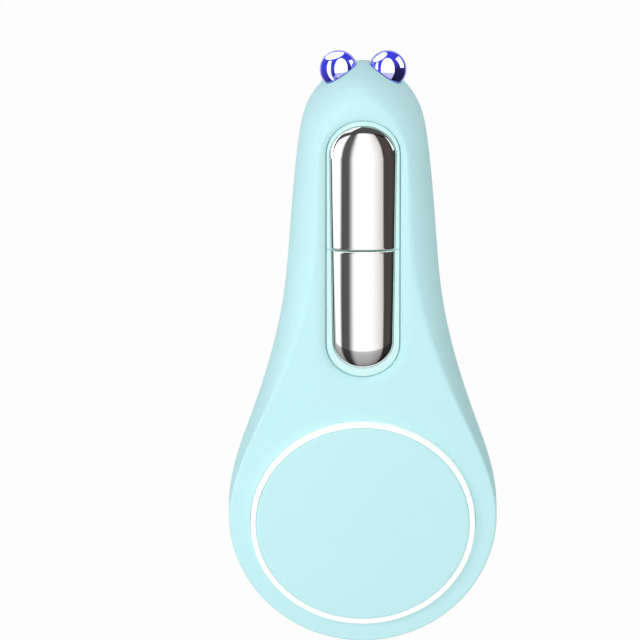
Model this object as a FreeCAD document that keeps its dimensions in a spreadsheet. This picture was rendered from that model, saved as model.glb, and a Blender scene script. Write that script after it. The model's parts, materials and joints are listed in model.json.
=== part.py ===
import FreeCAD
import Part
import Sketcher
import functools
import math
import os
import re

# Hand-held microcurrent device for the eye area, lying on its flat back with its front face up.
# X runs across the body, Y from the base to the head and Z out of the front face. The origin is on the back,
# straight below the middle of the button. All sizes are in millimetres.

# Driving dimensions, by group. A reach is a distance from the button's middle towards the head.
SIZES = {
    # outer form
    "body_depth": 26.0,
    "base_half_width": 22.3,
    "base_end_extra": 0.1,
    "base_wide_reach": 1.2,
    "base_wide_sink": 5.0,
    "base_back_draw": 9.8,
    "front_edge_radius": 0.4,
    "neck_half_width": 12.3,
    "neck_reach": 46.0,
    "neck_back_draw": 8.1,
    "neck_front_draw": 4.4,
    "neck_round_height": 9.0,
    "brow_draw": 1.7,
    "brow_gap": 14.2,
    "temple_draw": 3.4,
    "temple_gap": 7.2,
    "head_reach": 81.0,
    "head_back_draw": 35.0,
    "head_front_draw": 3.6,
    "head_wide_sink": 6.5,
    # walls and casing
    "sleeve_wall": 1.4,
    "shell_wall": 1.3,
    "fit_gap": 0.1,
    "seal_height": 0.6,
    "seal_inset": 0.25,
    # light ring and button
    "ring_margin": 3.6,
    "ring_width": 0.85,
    "ring_proud": 0.9,
    "ring_flange_width": 2.4,
    "ring_flange_height": 0.4,
    "light_leg_radius": 0.8,
    "light_leg_margin": 1.4,
    "button_gap": 0.12,
    "button_travel": 0.5,
    "press_reserve": 0.1,
    "cap_edge_radius": 0.2,
    "carrier_thickness": 0.5,
    "carrier_gap": 0.3,
    "stem_radius": 2.5,
    "stem_gap": 0.5,
    "cushion_margin": 1.0,
    "cushion_width": 3.0,
    # long contact in the neck
    "tray_half_width": 6.07,
    "tray_screw_gap": 4.6,
    "tray_head_gap": 7.3,
    "tray_gap": 0.12,
    "tray_sink": 0.8,
    "tray_flange_width": 1.0,
    "tray_flange_height": 0.9,
    "lip_roll_width": 2.0,
    "lip_roll_depth": 0.9,
    "plate_half_width": 5.5,
    "plate_foot_half_width": 5.0,
    "plate_start_inset": 1.6,
    "plate_end_inset": 0.95,
    "plate_gap": 0.05,
    "plate_seat_depth": 1.7,
    "plate_edge_sink": 0.85,
    "plate_crown": 0.85,
    "split_gap": 0.35,
    "stud_radius": 1.0,
    "stud_offset": 1.8,
    "stud_inset": 7.5,
    # balls at the head
    "sphere_radius": 3.17,
    "sphere_offset": 4.04,
    "sphere_setback": 1.35,
    "sphere_sink": 8.3,
    "sphere_gap": 0.05,
    "cradle_wall": 1.1,
    "stem_end_gap": 8.5,
    "sphere_stem_radius": 1.0,
    # board and what it carries
    "board_margin": 3.7,
    "board_thickness": 1.2,
    "board_tab_half_width": 4.8,
    "board_tab_length": 5.4,
    "boss_length": 5.8,
    "boss_radius": 2.2,
    "switch_width": 6.0,
    "switch_height": 2.6,
    "plunger_radius": 1.6,
    "plunger_gap": 0.05,
    "plunger_depth": 0.8,
    "contact_gap": 0.02,
    "chip_height": 1.2,
    "transformer_height": 4.5,
    "component_gap": 3.25,
    "component_reach": 2.0,
    "capacitor_radius": 1.5,
    "capacitor_height": 3.5,
    "capacitor_spacing": 4.5,
    "capacitor_margin": 7.6,
    "led_width": 1.6,
    "led_height": 0.9,
    "led_gap": 0.3,
    # cell
    "battery_side_gap": 0.4,
    "battery_socket_gap": 1.5,
    "battery_end_gap": 5.0,
    "battery_board_gap": 3.5,
    "battery_corner_radius": 1.0,
    "pad_side_inset": 4.0,
    "pad_end_inset": 2.0,
    "pad_thickness": 1.9,
    # charging socket
    "socket_seal_gap": 0.2,
    "socket_width": 7.0,
    "socket_depth": 6.0,
    "socket_length": 8.0,
    "socket_front_inset": 5.9,
    "socket_nose_radius": 2.5,
    "socket_nose_inset": 2.3,
    "socket_bore_radius": 1.25,
    "socket_bore_length": 8.5,
    "plug_hole_radius": 3.6,
    # vibration motor
    "motor_back_gap": 3.7,
    "motor_lead_gap": 1.0,
    "motor_length": 14.0,
    "motor_stud_gap": 5.9,
    "motor_cap_length": 1.2,
    "motor_cap_inset": 0.6,
    "shaft_radius": 0.75,
    "shaft_gap": 0.05,
    "shaft_depth": 3.0,
    "weight_inset": 1.0,
    "weight_length": 4.5,
    "weight_gap": 1.5,
    "weight_hub_radius": 1.5,
    "boot_setback": 3.0,
    "boot_length": 8.0,
    # screws
    "shell_screw_radius": 0.9,
    "screw_head_radius": 1.7,
    "screw_head_height": 1.2,
    "screw_head_gap": 0.15,
    "screw_seat_depth": 2.8,
    "screw_end_margin": 1.6,
    "post_radius": 2.9,
    "base_screw_margin": 6.7,
    "base_screw_angle": 31.5,
    "neck_screw_offset": 7.5,
    "neck_screw_gap": 3.4,
    "board_screw_radius": 0.7,
    "board_screw_head_radius": 1.4,
    "board_screw_head_height": 0.8,
    "board_screw_grip": 4.0,
    "board_screw_margin": 2.9,
    "board_screw_angle": 52.8,
    "board_boss_radius": 2.0,
    # wiring
    "lead_radius": 0.5,
    "lead_lift": 0.1,
    "lead_hole_gap": 0.2,
    "lead_landing": 2.4,
    "motor_lead_offset": 1.5,
    "motor_lead_landing": 2.9,
    "motor_lead_bend": 2.0,
    "battery_lead_offset": 3.2,
    "battery_lead_gap": 1.6,
    "battery_lead_drop": 2.0,
    "battery_lead_bend": 1.2,
    "socket_lead_offset": 1.6,
    "socket_lead_inset": 2.0,
}

document = FreeCAD.newDocument("eye_device")
sheet = document.addObject("Spreadsheet::Sheet", "sizes")
for row, (size_name, size_value) in enumerate(SIZES.items(), start=1):
    sheet.set(f"A{row}", size_name)
    sheet.set(f"B{row}", str(size_value))
    sheet.setAlias(f"B{row}", size_name)
document.recompute()

# Places that follow from the driving dimensions, as formulas
PLACES = {
    "base_end_reach": "base_half_width + base_end_extra",
    "base_wide_height": "body_depth - base_wide_sink",
    "neck_wide_height": "body_depth / 2",
    "brow_half_width": "neck_half_width - brow_draw",
    "brow_reach": "head_reach - brow_gap",
    "temple_half_width": "neck_half_width - temple_draw",
    "temple_reach": "head_reach - temple_gap",
    "head_wide_height": "body_depth - head_wide_sink",
    "shell_inset": "sleeve_wall + fit_gap",
    "cavity_inset": "shell_inset + shell_wall",
    "shell_front": "body_depth - shell_inset",
    "cavity_front": "body_depth - cavity_inset",
    "cavity_back": "cavity_inset",
    "seal_bottom": "body_depth / 2 - seal_height / 2",
    "seal_top": "body_depth / 2 + seal_height / 2",
    "ring_outer_radius": "base_half_width - ring_margin",
    "ring_top": "body_depth + ring_proud",
    "ring_inner": "ring_outer_radius - ring_width",
    "flange_inner": "ring_outer_radius - ring_flange_width",
    "light_leg_circle": "ring_outer_radius - light_leg_margin",
    "cap_radius": "ring_inner - button_gap",
    "carrier_radius": "flange_inner - carrier_gap",
    "carrier_bottom": "shell_front + button_travel + press_reserve",
    "cap_bottom": "carrier_bottom + carrier_thickness",
    "cushion_outer_radius": "carrier_radius - cushion_margin",
    "cushion_inner_radius": "cushion_outer_radius - cushion_width",
    "board_radius": "base_half_width - board_margin",
    "board_tab_reach": "board_radius + board_tab_length",
    "board_top": "cavity_front - boss_length",
    "board_bottom": "board_top - board_thickness",
    "component_width": "light_leg_circle - light_leg_radius - switch_width / 2 - 2 * component_gap",
    "component_offset": "switch_width / 2 + component_gap + component_width / 2",
    "capacitor_reach": "board_radius - capacitor_margin",
    "switch_top": "board_top + switch_height",
    "plunger_top": "switch_top + button_travel + press_reserve",
    "plunger_bottom": "switch_top - plunger_depth",
    "led_top": "board_top + led_height",
    "base_screw_offset": "(base_half_width - base_screw_margin) * cos(base_screw_angle)",
    "base_screw_reach": "base_wide_reach - (base_half_width - base_screw_margin) * sin(base_screw_angle)",
    "neck_screw_reach": "board_radius + neck_screw_gap",
    "board_screw_offset": "(board_radius - board_screw_margin) * cos(board_screw_angle)",
    "board_screw_reach": "(board_radius - board_screw_margin) * sin(board_screw_angle)",
    "screw_seat": "cavity_back + screw_seat_depth",
    "tray_start": "neck_screw_reach + tray_screw_gap",
    "tray_end": "head_reach - tray_head_gap",
    "tray_top": "body_depth - tray_sink",
    "tray_bottom": "cavity_front - fit_gap - tray_flange_height",
    "plate_start": "tray_start + plate_start_inset",
    "plate_end": "tray_end - plate_end_inset",
    "plate_seat": "body_depth - plate_seat_depth",
    "plate_edge": "body_depth - plate_edge_sink",
    "split_reach": "(tray_start + tray_end) / 2",
    "lower_stud_reach": "tray_start + stud_inset",
    "upper_stud_reach": "tray_end - stud_inset",
    "sphere_reach": "head_reach - sphere_setback",
    "sphere_height": "body_depth - sphere_sink",
    "stem_end_reach": "head_reach - stem_end_gap",
    "cradle_radius": "sphere_radius + sphere_gap + cradle_wall",
    "socket_front_reach": "base_end_reach - socket_front_inset",
    "socket_nose_end": "base_end_reach - socket_nose_inset",
    "socket_back": "socket_length - socket_front_reach",
    "socket_height": "seal_bottom - socket_nose_radius - socket_seal_gap",
    "socket_top": "socket_height + socket_depth / 2",
    "battery_width": "2 * (base_screw_offset - post_radius - battery_side_gap)",
    "battery_start": "socket_back + battery_socket_gap",
    "battery_end": "neck_screw_reach - battery_end_gap",
    "battery_middle": "(battery_start + battery_end) / 2",
    "battery_bottom": "cavity_back + pad_thickness",
    "battery_thickness": "board_bottom - battery_board_gap - battery_bottom",
    "pad_width": "battery_width - 2 * pad_side_inset",
    "pad_length": "battery_end - battery_start - 2 * pad_end_inset",
    "lead_height": "board_top + lead_radius + lead_lift",
    "lead_end_reach": "board_radius - lead_landing",
    "motor_radius": "(lead_height - lead_radius - motor_lead_gap - cavity_back - motor_back_gap) / 2",
    "motor_height": "cavity_back + motor_back_gap + motor_radius",
    "motor_start": "lower_stud_reach + motor_stud_gap",
    "motor_end": "motor_start + motor_length",
    "motor_cap_radius": "motor_radius - motor_cap_inset",
    "motor_lead_reach": "board_radius + motor_lead_landing",
    "weight_radius": "motor_radius - weight_inset",
    "weight_start": "motor_end + weight_gap",
    "boot_start": "motor_start + boot_setback",
    "battery_lead_reach": "battery_end + battery_lead_gap",
    "beyond": "2 * head_reach",
}

ALONG_Y = FreeCAD.Rotation(FreeCAD.Vector(1, 0, 0), -90)
SIDES = (("left", -1), ("right", 1))
CAPACITOR_COUNT = 3
LIGHT_COUNT = 4
subparts = {}


def formula(text):
    """The same formula with each place worked out and each size named in full."""
    def in_full(word):
        if word[0] in PLACES:
            return f"({formula(PLACES[word[0]])})"
        return f"sizes.{word[0]}" if word[0] in SIZES else word[0]
    return re.sub(r"[a-z_]+", in_full, text)


@functools.lru_cache(maxsize=None)
def number(text):
    """The present value of a formula."""
    return float(sheet.evalExpression(formula(text)))


def bind(thing, **formulas):
    for size, text in formulas.items():
        thing.setExpression(size, formula(text))
    return thing


def place(thing, x, y, z):
    for axis, text in zip("xyz", (x, y, z)):
        thing.setExpression(f"Placement.Base.{axis}", formula(text))
    return thing


def subpart(label, thing):
    """Marks a finished piece as a sub-part with its own name."""
    thing.Label = label
    subparts[label] = thing
    return thing


def solid_of(name, shape):
    thing = document.addObject("Part::Feature", name)
    thing.Shape = shape
    return thing


def cylinder(name, radius, height, x="0", y="0", z="0", turn=None):
    thing = bind(document.addObject("Part::Cylinder", name), Radius=radius, Height=height)
    if turn:
        thing.Placement = FreeCAD.Placement(FreeCAD.Vector(), turn)
    return place(thing, x, y, z)


def block(name, width, length, height, x="0", y="0", z="0"):
    """A box with x at its middle, y at its near end and z at its bottom."""
    thing = bind(document.addObject("Part::Box", name), Length=width, Width=length, Height=height)
    return place(thing, f"{x} - ({width}) / 2", y, z)


def lying(name, radius, length, start, height, x="0"):
    """A cylinder along Y, placed by its near end."""
    return cylinder(name, radius, length, x, start, height, ALONG_Y)


def ball(name, radius, sign):
    """A ball about the middle of the left or the right contact at the head."""
    thing = bind(document.addObject("Part::Sphere", name), Radius=radius)
    return place(thing, f"{sign} * sphere_offset", "sphere_reach", "sphere_height")


def joined(name, things):
    thing = document.addObject("Part::MultiFuse", name)
    thing.Shapes = things
    return thing


def shared(name, things):
    thing = document.addObject("Part::MultiCommon", name)
    thing.Shapes = things
    return thing


def grouped(name, things):
    """Separate solids kept together in one piece."""
    thing = document.addObject("Part::Compound", name)
    thing.Links = things
    return thing


def without(name, base, tools):
    """The base with each tool taken out of it in turn."""
    thing = base
    for index, tool in enumerate(tools):
        cut = document.addObject("Part::Cut", f"{name}_{index}")
        cut.Base = thing
        cut.Tool = tool
        thing = cut
    return thing


def obround(name, half_width, start, end, bottom, top):
    """An upright bar with round ends, centred on the body's middle plane."""
    height = f"({top}) - ({bottom})"
    near_reach = f"({start}) + ({half_width})"
    far_reach = f"({end}) - ({half_width})"
    middle = block(f"{name}_middle", f"2 * ({half_width})", f"({far_reach}) - ({near_reach})", height,
                   y=near_reach, z=bottom)
    near = cylinder(f"{name}_near", half_width, height, y=near_reach, z=bottom)
    far = cylinder(f"{name}_far", half_width, height, y=far_reach, z=bottom)
    return joined(name, [middle, near, far])


def body_of(label):
    return subpart(label, document.addObject("PartDesign::Body", label))


def sketch_on(body, name, role, lift="0"):
    sketch = body.newObject("Sketcher::SketchObject", name)
    plane = next(item for item in body.Origin.OriginFeatures if item.Role == role)
    sketch.AttachmentSupport = [(plane, "")]
    sketch.MapMode = "FlatFace"
    sketch.setExpression("AttachmentOffset.Base.z", formula(lift))
    return sketch


def pin_point(sketch, geometry, point, x, y):
    """Ties a point of a sketch to two formulas."""
    for axis, kind, text in ((-2, "DistanceX", x), (-1, "DistanceY", y)):
        if text == "0":
            sketch.addConstraint(Sketcher.Constraint("PointOnObject", geometry, point, axis))
        else:
            index = sketch.addConstraint(Sketcher.Constraint(kind, -1, 1, geometry, point, number(text)))
            sketch.setExpression(f"Constraints[{index}]", formula(text))


def draw_circle(sketch, radius, x="0", y="0"):
    centre = FreeCAD.Vector(number(x), number(y), 0)
    index = sketch.addGeometry(Part.Circle(centre, FreeCAD.Vector(0, 0, 1), number(radius)))
    limit = sketch.addConstraint(Sketcher.Constraint("Radius", index, number(radius)))
    sketch.setExpression(f"Constraints[{limit}]", formula(radius))
    pin_point(sketch, index, 3, x, y)


def draw_polygon(sketch, corners):
    points = [FreeCAD.Vector(number(x), number(y), 0) for x, y in corners]
    count = len(points)
    lines = []
    for index in range(count):
        lines.append(sketch.addGeometry(Part.LineSegment(points[index], points[(index + 1) % count])))
    for index, line in enumerate(lines):
        sketch.addConstraint(Sketcher.Constraint("Coincident", lines[index - 1], 2, line, 1))
        pin_point(sketch, line, 1, *corners[index])


def pad(body, name, sketch, length, downward=False):
    feature = body.newObject("PartDesign::Pad", name)
    feature.Profile = sketch
    feature.Reversed = downward
    return bind(feature, Length=length)


def pocket(body, name, sketch, depth):
    feature = body.newObject("PartDesign::Pocket", name)
    feature.Profile = sketch
    return bind(feature, Length=depth)


def revolve(body, name, corners):
    """A round piece about the body's own Z axis from (radius, height) corners."""
    sketch = sketch_on(body, f"{name}_profile", "XZ_Plane")
    draw_polygon(sketch, corners)
    feature = body.newObject("PartDesign::Revolution", name)
    feature.Profile = sketch
    feature.ReferenceAxis = (sketch, ["V_Axis"])
    feature.Angle = 360
    return feature


def tube_along(points, radius, bend):
    """A round lead through two or three points, with one tangent bend at the middle point."""
    start, end = points[0], points[-1]
    edges = []
    if len(points) == 3:
        corner = points[1]
        back = (start - corner).normalize()
        ahead = (end - corner).normalize()
        first = corner + back * bend
        last = corner + ahead * bend
        middle = first + ahead * bend + (corner - first - ahead * bend).normalize() * bend
        edges.append(Part.LineSegment(start, first).toShape())
        edges.append(Part.Arc(first, middle, last).toShape())
        edges.append(Part.LineSegment(last, end).toShape())
    else:
        edges.append(Part.LineSegment(start, end).toShape())
    path = Part.Wire(edges)
    heading = edges[0].tangentAt(edges[0].FirstParameter)
    profile = Part.Wire(Part.makeCircle(radius, start, heading))
    return path.makePipeShell([profile], True, False)


# Outer form: closed outlines at several heights, lofted from the back to the front face

LEAST_ROUNDING = 0.3
BACK_ANGLES = (0, 6, 12, 20, 30, 45, 60, 75, 90)
SIDE_SHARES = (0.4, 0.75)
EDGE_ANGLES = (0, 30, 60, 90)
LIP_ANGLES = (0, 30, 60, 85)
CROWN_SHARES = (0, 0.03, 0.1, 0.25, 0.5, 0.8)
BASE_ANGLES = (-90, -60, -30, 0)
# Shoulder, flank, waist and neck: share of the neck's reach, share of the way out to the base's half width
SIDE_STATIONS = ((0.283, 0.72), (0.543, 0.345), (0.772, 0.12), (1, 0))
HEAD_STATIONS = ("brow", "temple")


def draw_in(height, inset, back, wide, front, round_start):
    """How far a side draws in at a height: round to the back below its widest height, to the front above."""
    if height < wide:
        share = (wide - height) / (wide - inset)
        return back * (1 - math.sqrt(max(0.0, 1 - share * share)))
    if height > round_start:
        share = (height - round_start) / (number("body_depth") - inset - round_start)
        return front * (1 - math.sqrt(max(0.0, 1 - share * share)))
    return 0.0


def front_rounding(outer, inset):
    return max(outer - inset, LEAST_ROUNDING)


def half_outline(height, inset):
    """Points of one half of the outline at a height, from the base's end to the head's end."""
    depth = number("body_depth")
    edge = front_rounding(number("front_edge_radius"), inset)
    base_in = draw_in(height, inset, number("base_back_draw") - inset,
                      number("base_wide_height"), edge, depth - inset - edge)
    neck_in = draw_in(height, inset, number("neck_back_draw") - inset,
                      number("neck_wide_height"),
                      front_rounding(number("neck_front_draw"), inset),
                      depth - number("neck_round_height"))
    head_wide = number("head_wide_height")
    head_in = draw_in(height, inset, number("head_back_draw") - inset, head_wide,
                      front_rounding(number("head_front_draw"), inset), head_wide)
    head = number("head_reach") - inset - head_in
    first_share = SIDE_STATIONS[0][0]
    flank = SIDE_STATIONS[1][0] * number("neck_reach")
    stretch = (head - flank) / (number("head_reach") - inset - flank)
    points = []
    for angle in BASE_ANGLES:
        across = (number("base_half_width") - inset - base_in) * math.cos(math.radians(angle))
        along = (number("base_end_reach + base_wide_reach") - inset - base_in) * math.sin(math.radians(angle))
        points.append((across, number("base_wide_reach") + along))
    for reach_share, width_share in SIDE_STATIONS:
        reach = reach_share * number("neck_reach")
        share = (reach_share - first_share) / (1 - first_share)
        side_in = base_in + (neck_in - base_in) * share
        half_width = number("neck_half_width") + width_share * number("base_half_width - neck_half_width")
        across = half_width - inset - side_in
        points.append((across, flank + (reach - flank) * stretch if reach > flank else reach))
    slim = 1 - neck_in / (number("neck_half_width") - inset)
    for station in HEAD_STATIONS:
        across = number(f"{station}_half_width")
        rise = number(f"{station}_reach - brow_reach")
        length = math.hypot(across, rise)
        reach = number(f"{station}_reach") - inset * rise / length
        points.append(((across - inset * across / length) * slim, flank + (reach - flank) * stretch))
    points.append((0.0, head))
    points[0] = (0.0, points[0][1])
    return points


def outline_wire(height, inset):
    half = half_outline(height, inset)
    ring = half + [(-across, along) for across, along in half[-2:0:-1]]
    curve = Part.BSplineCurve()
    curve.interpolate([FreeCAD.Vector(across, along, height) for across, along in ring], PeriodicFlag=True)
    return Part.Wire(curve.toShape())


@functools.lru_cache(maxsize=None)
def form(inset_formula):
    """The whole outer form, drawn in all round by an inset."""
    inset = number(inset_formula)
    front = number("body_depth") - inset
    wide = number("base_wide_height")
    edge = front_rounding(number("front_edge_radius"), inset)
    side_top = front - edge
    heights = [inset + (wide - inset) * (1 - math.cos(math.radians(angle))) for angle in BACK_ANGLES]
    heights += [wide + (side_top - wide) * share for share in SIDE_SHARES]
    heights += [side_top + edge * math.sin(math.radians(angle)) for angle in EDGE_ANGLES]
    return solid_of("form", Part.makeLoft([outline_wire(height, inset) for height in heights], True, False))


def slab(name, bottom, top):
    """A wide flat block between two heights, larger than the body."""
    return block(name, "beyond", "2 * beyond", f"({top}) - ({bottom})", y="-beyond", z=bottom)


def at_sides(name, make):
    """One tool on each side of the middle plane; make gets the tool's name and its sign."""
    return [make(f"{name}_{side}", sign) for side, sign in SIDES]


# Tools that several pieces share

def round_bar_wire(near_radius, near_reach, far_radius, far_reach, height):
    """Outline of two circles of different radius joined by their tangents."""
    lean = math.asin((near_radius - far_radius) / (far_reach - near_reach))
    near = FreeCAD.Vector(0, near_reach, height)
    far = FreeCAD.Vector(0, far_reach, height)
    right = FreeCAD.Vector(math.cos(lean), math.sin(lean), 0)
    left = FreeCAD.Vector(-right.x, right.y, 0)
    ahead = FreeCAD.Vector(0, 1, 0)
    edges = [
        Part.LineSegment(near + right * near_radius, far + right * far_radius).toShape(),
        Part.Arc(far + right * far_radius, far + ahead * far_radius, far + left * far_radius).toShape(),
        Part.LineSegment(far + left * far_radius, near + left * near_radius).toShape(),
        Part.Arc(near + left * near_radius, near - ahead * near_radius, near + right * near_radius).toShape(),
    ]
    return Part.Wire(edges)


def window_lip():
    """The rolled edge of the skin round the long contact, as a tool."""
    half_width = number("tray_half_width + tray_gap")
    start = number("tray_start - tray_gap") + half_width
    end = number("tray_end + tray_gap") - half_width
    depth = number("lip_roll_depth")
    width = number("lip_roll_width")
    wires = []
    for angle in LIP_ANGLES:
        out = half_width + width * (1 - math.cos(math.radians(angle)))
        height = number("body_depth") - depth * (1 - math.sin(math.radians(angle)))
        wires.append(round_bar_wire(out, start, out, end, height))
    top = number("body_depth + lip_roll_depth")
    wires.append(round_bar_wire(out, start, out, end, top))
    return solid_of("window_lip", Part.makeLoft(wires, True, True))


def plate_form(name, gap):
    """The crowned bar that the two contact plates are cut from, grown by a gap."""
    foot = number("plate_foot_half_width") + gap
    head = number("plate_half_width") + gap
    foot_reach = number("plate_start + plate_foot_half_width")
    head_reach = number("plate_end - plate_half_width")
    edge = number("plate_edge")
    wires = [round_bar_wire(foot, foot_reach, head, head_reach, number("plate_seat"))]
    for share in CROWN_SHARES:
        height = edge + number("plate_crown") * math.sqrt(1 - (1 - share) ** 2)
        drawn = share * number("plate_foot_half_width")
        wires.append(round_bar_wire(foot - drawn, foot_reach, head - drawn, head_reach, height))
    return solid_of(name, Part.makeLoft(wires, True, True))


def past_split(name, is_lower):
    """Everything past the end of one contact plate, at the line between the two."""
    start = "split_reach - split_gap / 2" if is_lower else "split_reach + split_gap / 2 - beyond"
    return block(name, "beyond", "beyond", "beyond", y=start)


def studs(name, gap, bottom, top):
    height = f"({top}) - ({bottom})"
    radius = f"stud_radius + ({gap})"
    lower = cylinder(f"{name}_lower", radius, height, "-stud_offset", "lower_stud_reach", bottom)
    upper = cylinder(f"{name}_upper", radius, height, "stud_offset", "upper_stud_reach", bottom)
    return [lower, upper]


def screw_spots():
    """Names and places of the four screws that close the casing."""
    spots = []
    for side, sign in SIDES:
        spots.append((f"base_{side}", f"{sign} * base_screw_offset", "base_screw_reach"))
        spots.append((f"neck_{side}", f"{sign} * neck_screw_offset", "neck_screw_reach"))
    return spots


def straight_leads(name, gap):
    """The leads along the neck from the balls and the contact plates to the board, grown by a gap."""
    end = number("lead_end_reach")
    board = number("lead_height")
    radius = number("lead_radius") + gap
    sphere_leads = []
    for side, sign in SIDES:
        across = sign * number("sphere_offset")
        start = FreeCAD.Vector(across, number("stem_end_reach - contact_gap"), number("sphere_height"))
        lead = tube_along([start, FreeCAD.Vector(across, end, board)], radius, 0)
        sphere_leads.append(solid_of(f"{name}_sphere_{side}", lead))
    plate_leads = []
    for which, across, reach in (("lower", "-stud_offset", "lower_stud_reach"),
                                 ("upper", "stud_offset", "upper_stud_reach")):
        start = FreeCAD.Vector(number(across), number(f"{reach} + stud_radius"), board)
        lead = tube_along([start, FreeCAD.Vector(number(across), end, board)], radius, 0)
        plate_leads.append(solid_of(f"{name}_plate_{which}", lead))
    return sphere_leads, plate_leads


# Skin and casing

def silicone_sleeve():
    tools = [form("sleeve_wall")]
    tools.append(cylinder("sleeve_button_hole", "ring_outer_radius + fit_gap", "2 * sleeve_wall",
                          z="body_depth - sleeve_wall - fit_gap"))
    tools.append(obround("sleeve_window", "tray_half_width + tray_gap", "tray_start - tray_gap",
                         "tray_end + tray_gap", "cavity_front", "body_depth - lip_roll_depth + fit_gap"))
    tools.append(window_lip())
    tools += at_sides("sleeve_socket", lambda name, sign: ball(name, "sphere_radius + sphere_gap", sign))
    tools += at_sides("sleeve_stem_hole", lambda name, sign: sphere_stem(name, "fit_gap", sign))
    tools.append(lying("sleeve_plug_hole", "plug_hole_radius", "base_end_reach",
                       "-base_end_reach - socket_front_reach", "socket_height"))
    subpart("silicone_sleeve", without("sleeve", form("0"), tools))


@functools.lru_cache(maxsize=None)
def casing():
    """The casing's wall all round, before it is parted in two."""
    return without("casing", form("shell_inset"), [form("cavity_inset")])


def shell_half(name, bottom, top):
    """The casing's wall between two heights."""
    return shared(f"{name}_half", [casing(), slab(f"{name}_slab", bottom, top)])


def front_shell():
    pieces = [shell_half("front", "seal_top", "body_depth")]
    holes = []
    to_wall = "cavity_front + shell_wall / 2"
    for spot, x, y in screw_spots():
        bottom = "board_top" if spot.startswith("base") else "seal_top"
        pieces.append(cylinder(f"front_boss_{spot}", "boss_radius", f"{to_wall} - ({bottom})", x, y, bottom))
        holes.append(cylinder(f"front_boss_hole_{spot}", "shell_screw_radius + contact_gap",
                              f"cavity_front - screw_end_margin / 2 - ({bottom})", x, y, bottom))
    for side, sign in SIDES:
        x = f"{sign} * board_screw_offset"
        pieces.append(cylinder(f"board_boss_{side}", "board_boss_radius", f"{to_wall} - board_top",
                               x, "board_screw_reach", "board_top"))
        holes.append(cylinder(f"board_boss_hole_{side}", "board_screw_radius + contact_gap",
                              "board_screw_grip + fit_gap", x, "board_screw_reach", "board_top"))
    holes.append(cylinder("front_stem_hole", "stem_radius + stem_gap", "4 * shell_wall",
                          z="cavity_front - shell_wall"))
    for index in range(LIGHT_COUNT):
        spot = leg_spot(index)
        holes.append(cylinder(f"front_leg_hole_{index}", "light_leg_radius + fit_gap", "4 * shell_wall",
                              *spot, "cavity_front - shell_wall"))
    holes.append(obround("front_window", "tray_half_width + tray_gap", "tray_start - tray_gap",
                         "tray_end + tray_gap", "cavity_front - shell_wall", "body_depth"))
    holes += at_sides("front_cradle_hole", lambda name, sign: ball(
        name, "cradle_radius + contact_gap", sign))
    holes += at_sides("front_ball_stem_hole", lambda name, sign: sphere_stem(name, "fit_gap", sign))
    subpart("front_shell", without("front_case", joined("front_case_solid", pieces), holes))


def rear_shell():
    pieces = [shell_half("rear", "0", "seal_bottom")]
    inside_wall = form("shell_inset + shell_wall / 2")
    holes = []
    for spot, x, y in screw_spots():
        top = "board_bottom - contact_gap" if spot.startswith("base") else "seal_bottom"
        post = cylinder(f"rear_post_{spot}", "post_radius", top, x, y)
        pieces.append(shared(f"rear_post_in_{spot}", [post, inside_wall]))
        holes.append(cylinder(f"rear_screw_hole_{spot}", "shell_screw_radius + fit_gap", "body_depth", x, y))
        holes.append(cylinder(f"rear_head_hole_{spot}", "screw_head_radius + screw_head_gap", "screw_seat",
                              x, y))
    holes.append(lying("rear_socket_hole", "socket_nose_radius + contact_gap", "base_end_reach",
                       "-base_end_reach - socket_front_reach", "socket_height"))
    subpart("rear_shell", without("rear_case", joined("rear_case_solid", pieces), holes))


def shell_seal():
    outer = form("shell_inset + seal_inset")
    inner = form("cavity_inset - seal_inset")
    layer = slab("seal_slab", "seal_bottom", "seal_top")
    subpart("shell_seal", shared("seal_loop", [without("seal_wall", outer, [inner]), layer]))


# Light ring and button

def leg_spot(index):
    """Place of one light leg: a quarter turn from the next."""
    spots = (("light_leg_circle", "0"), ("0", "light_leg_circle"), ("-light_leg_circle", "0"),
             ("0", "-light_leg_circle"))
    return spots[index]


def light_ring():
    body = body_of("light_ring")
    flange_top = "shell_front + ring_flange_height"
    revolve(body, "ring", [("flange_inner", "shell_front"), ("ring_outer_radius", "shell_front"),
                           ("ring_outer_radius", "ring_top"), ("ring_inner", "ring_top"),
                           ("ring_inner", flange_top), ("flange_inner", flange_top)])
    sketch = sketch_on(body, "ring_legs_profile", "XY_Plane", "shell_front")
    for index in range(LIGHT_COUNT):
        draw_circle(sketch, "light_leg_radius", *leg_spot(index))
    pad(body, "ring_legs", sketch, "shell_front - led_top - led_gap", downward=True)


def button_cap():
    body = body_of("button_cap")
    sketch = sketch_on(body, "cap_profile", "XY_Plane", "cap_bottom")
    draw_circle(sketch, "cap_radius")
    disc = pad(body, "cap_disc", sketch, "ring_top - cap_bottom")
    document.recompute()
    top = number("ring_top")
    names = [f"Edge{index + 1}" for index, edge in enumerate(disc.Shape.Edges)
             if abs(edge.BoundBox.ZMin - top) < LEAST_ROUNDING / 10]
    rounding = body.newObject("PartDesign::Fillet", "cap_edge")
    rounding.Base = (disc, names)
    bind(rounding, Radius="cap_edge_radius")


def button_carrier():
    stem_bottom = "plunger_top + contact_gap"
    revolve(body_of("button_carrier"), "carrier", [
        ("0", stem_bottom), ("stem_radius", stem_bottom), ("stem_radius", "carrier_bottom"),
        ("carrier_radius", "carrier_bottom"), ("carrier_radius", "cap_bottom"), ("0", "cap_bottom")])


def button_cushion():
    outer = "cushion_outer_radius"
    revolve(body_of("button_cushion"), "cushion", [
        ("cushion_inner_radius", "shell_front"), (outer, "shell_front"), (outer, "carrier_bottom"),
        ("cushion_inner_radius", "carrier_bottom")])


# Long contact in the neck

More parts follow.
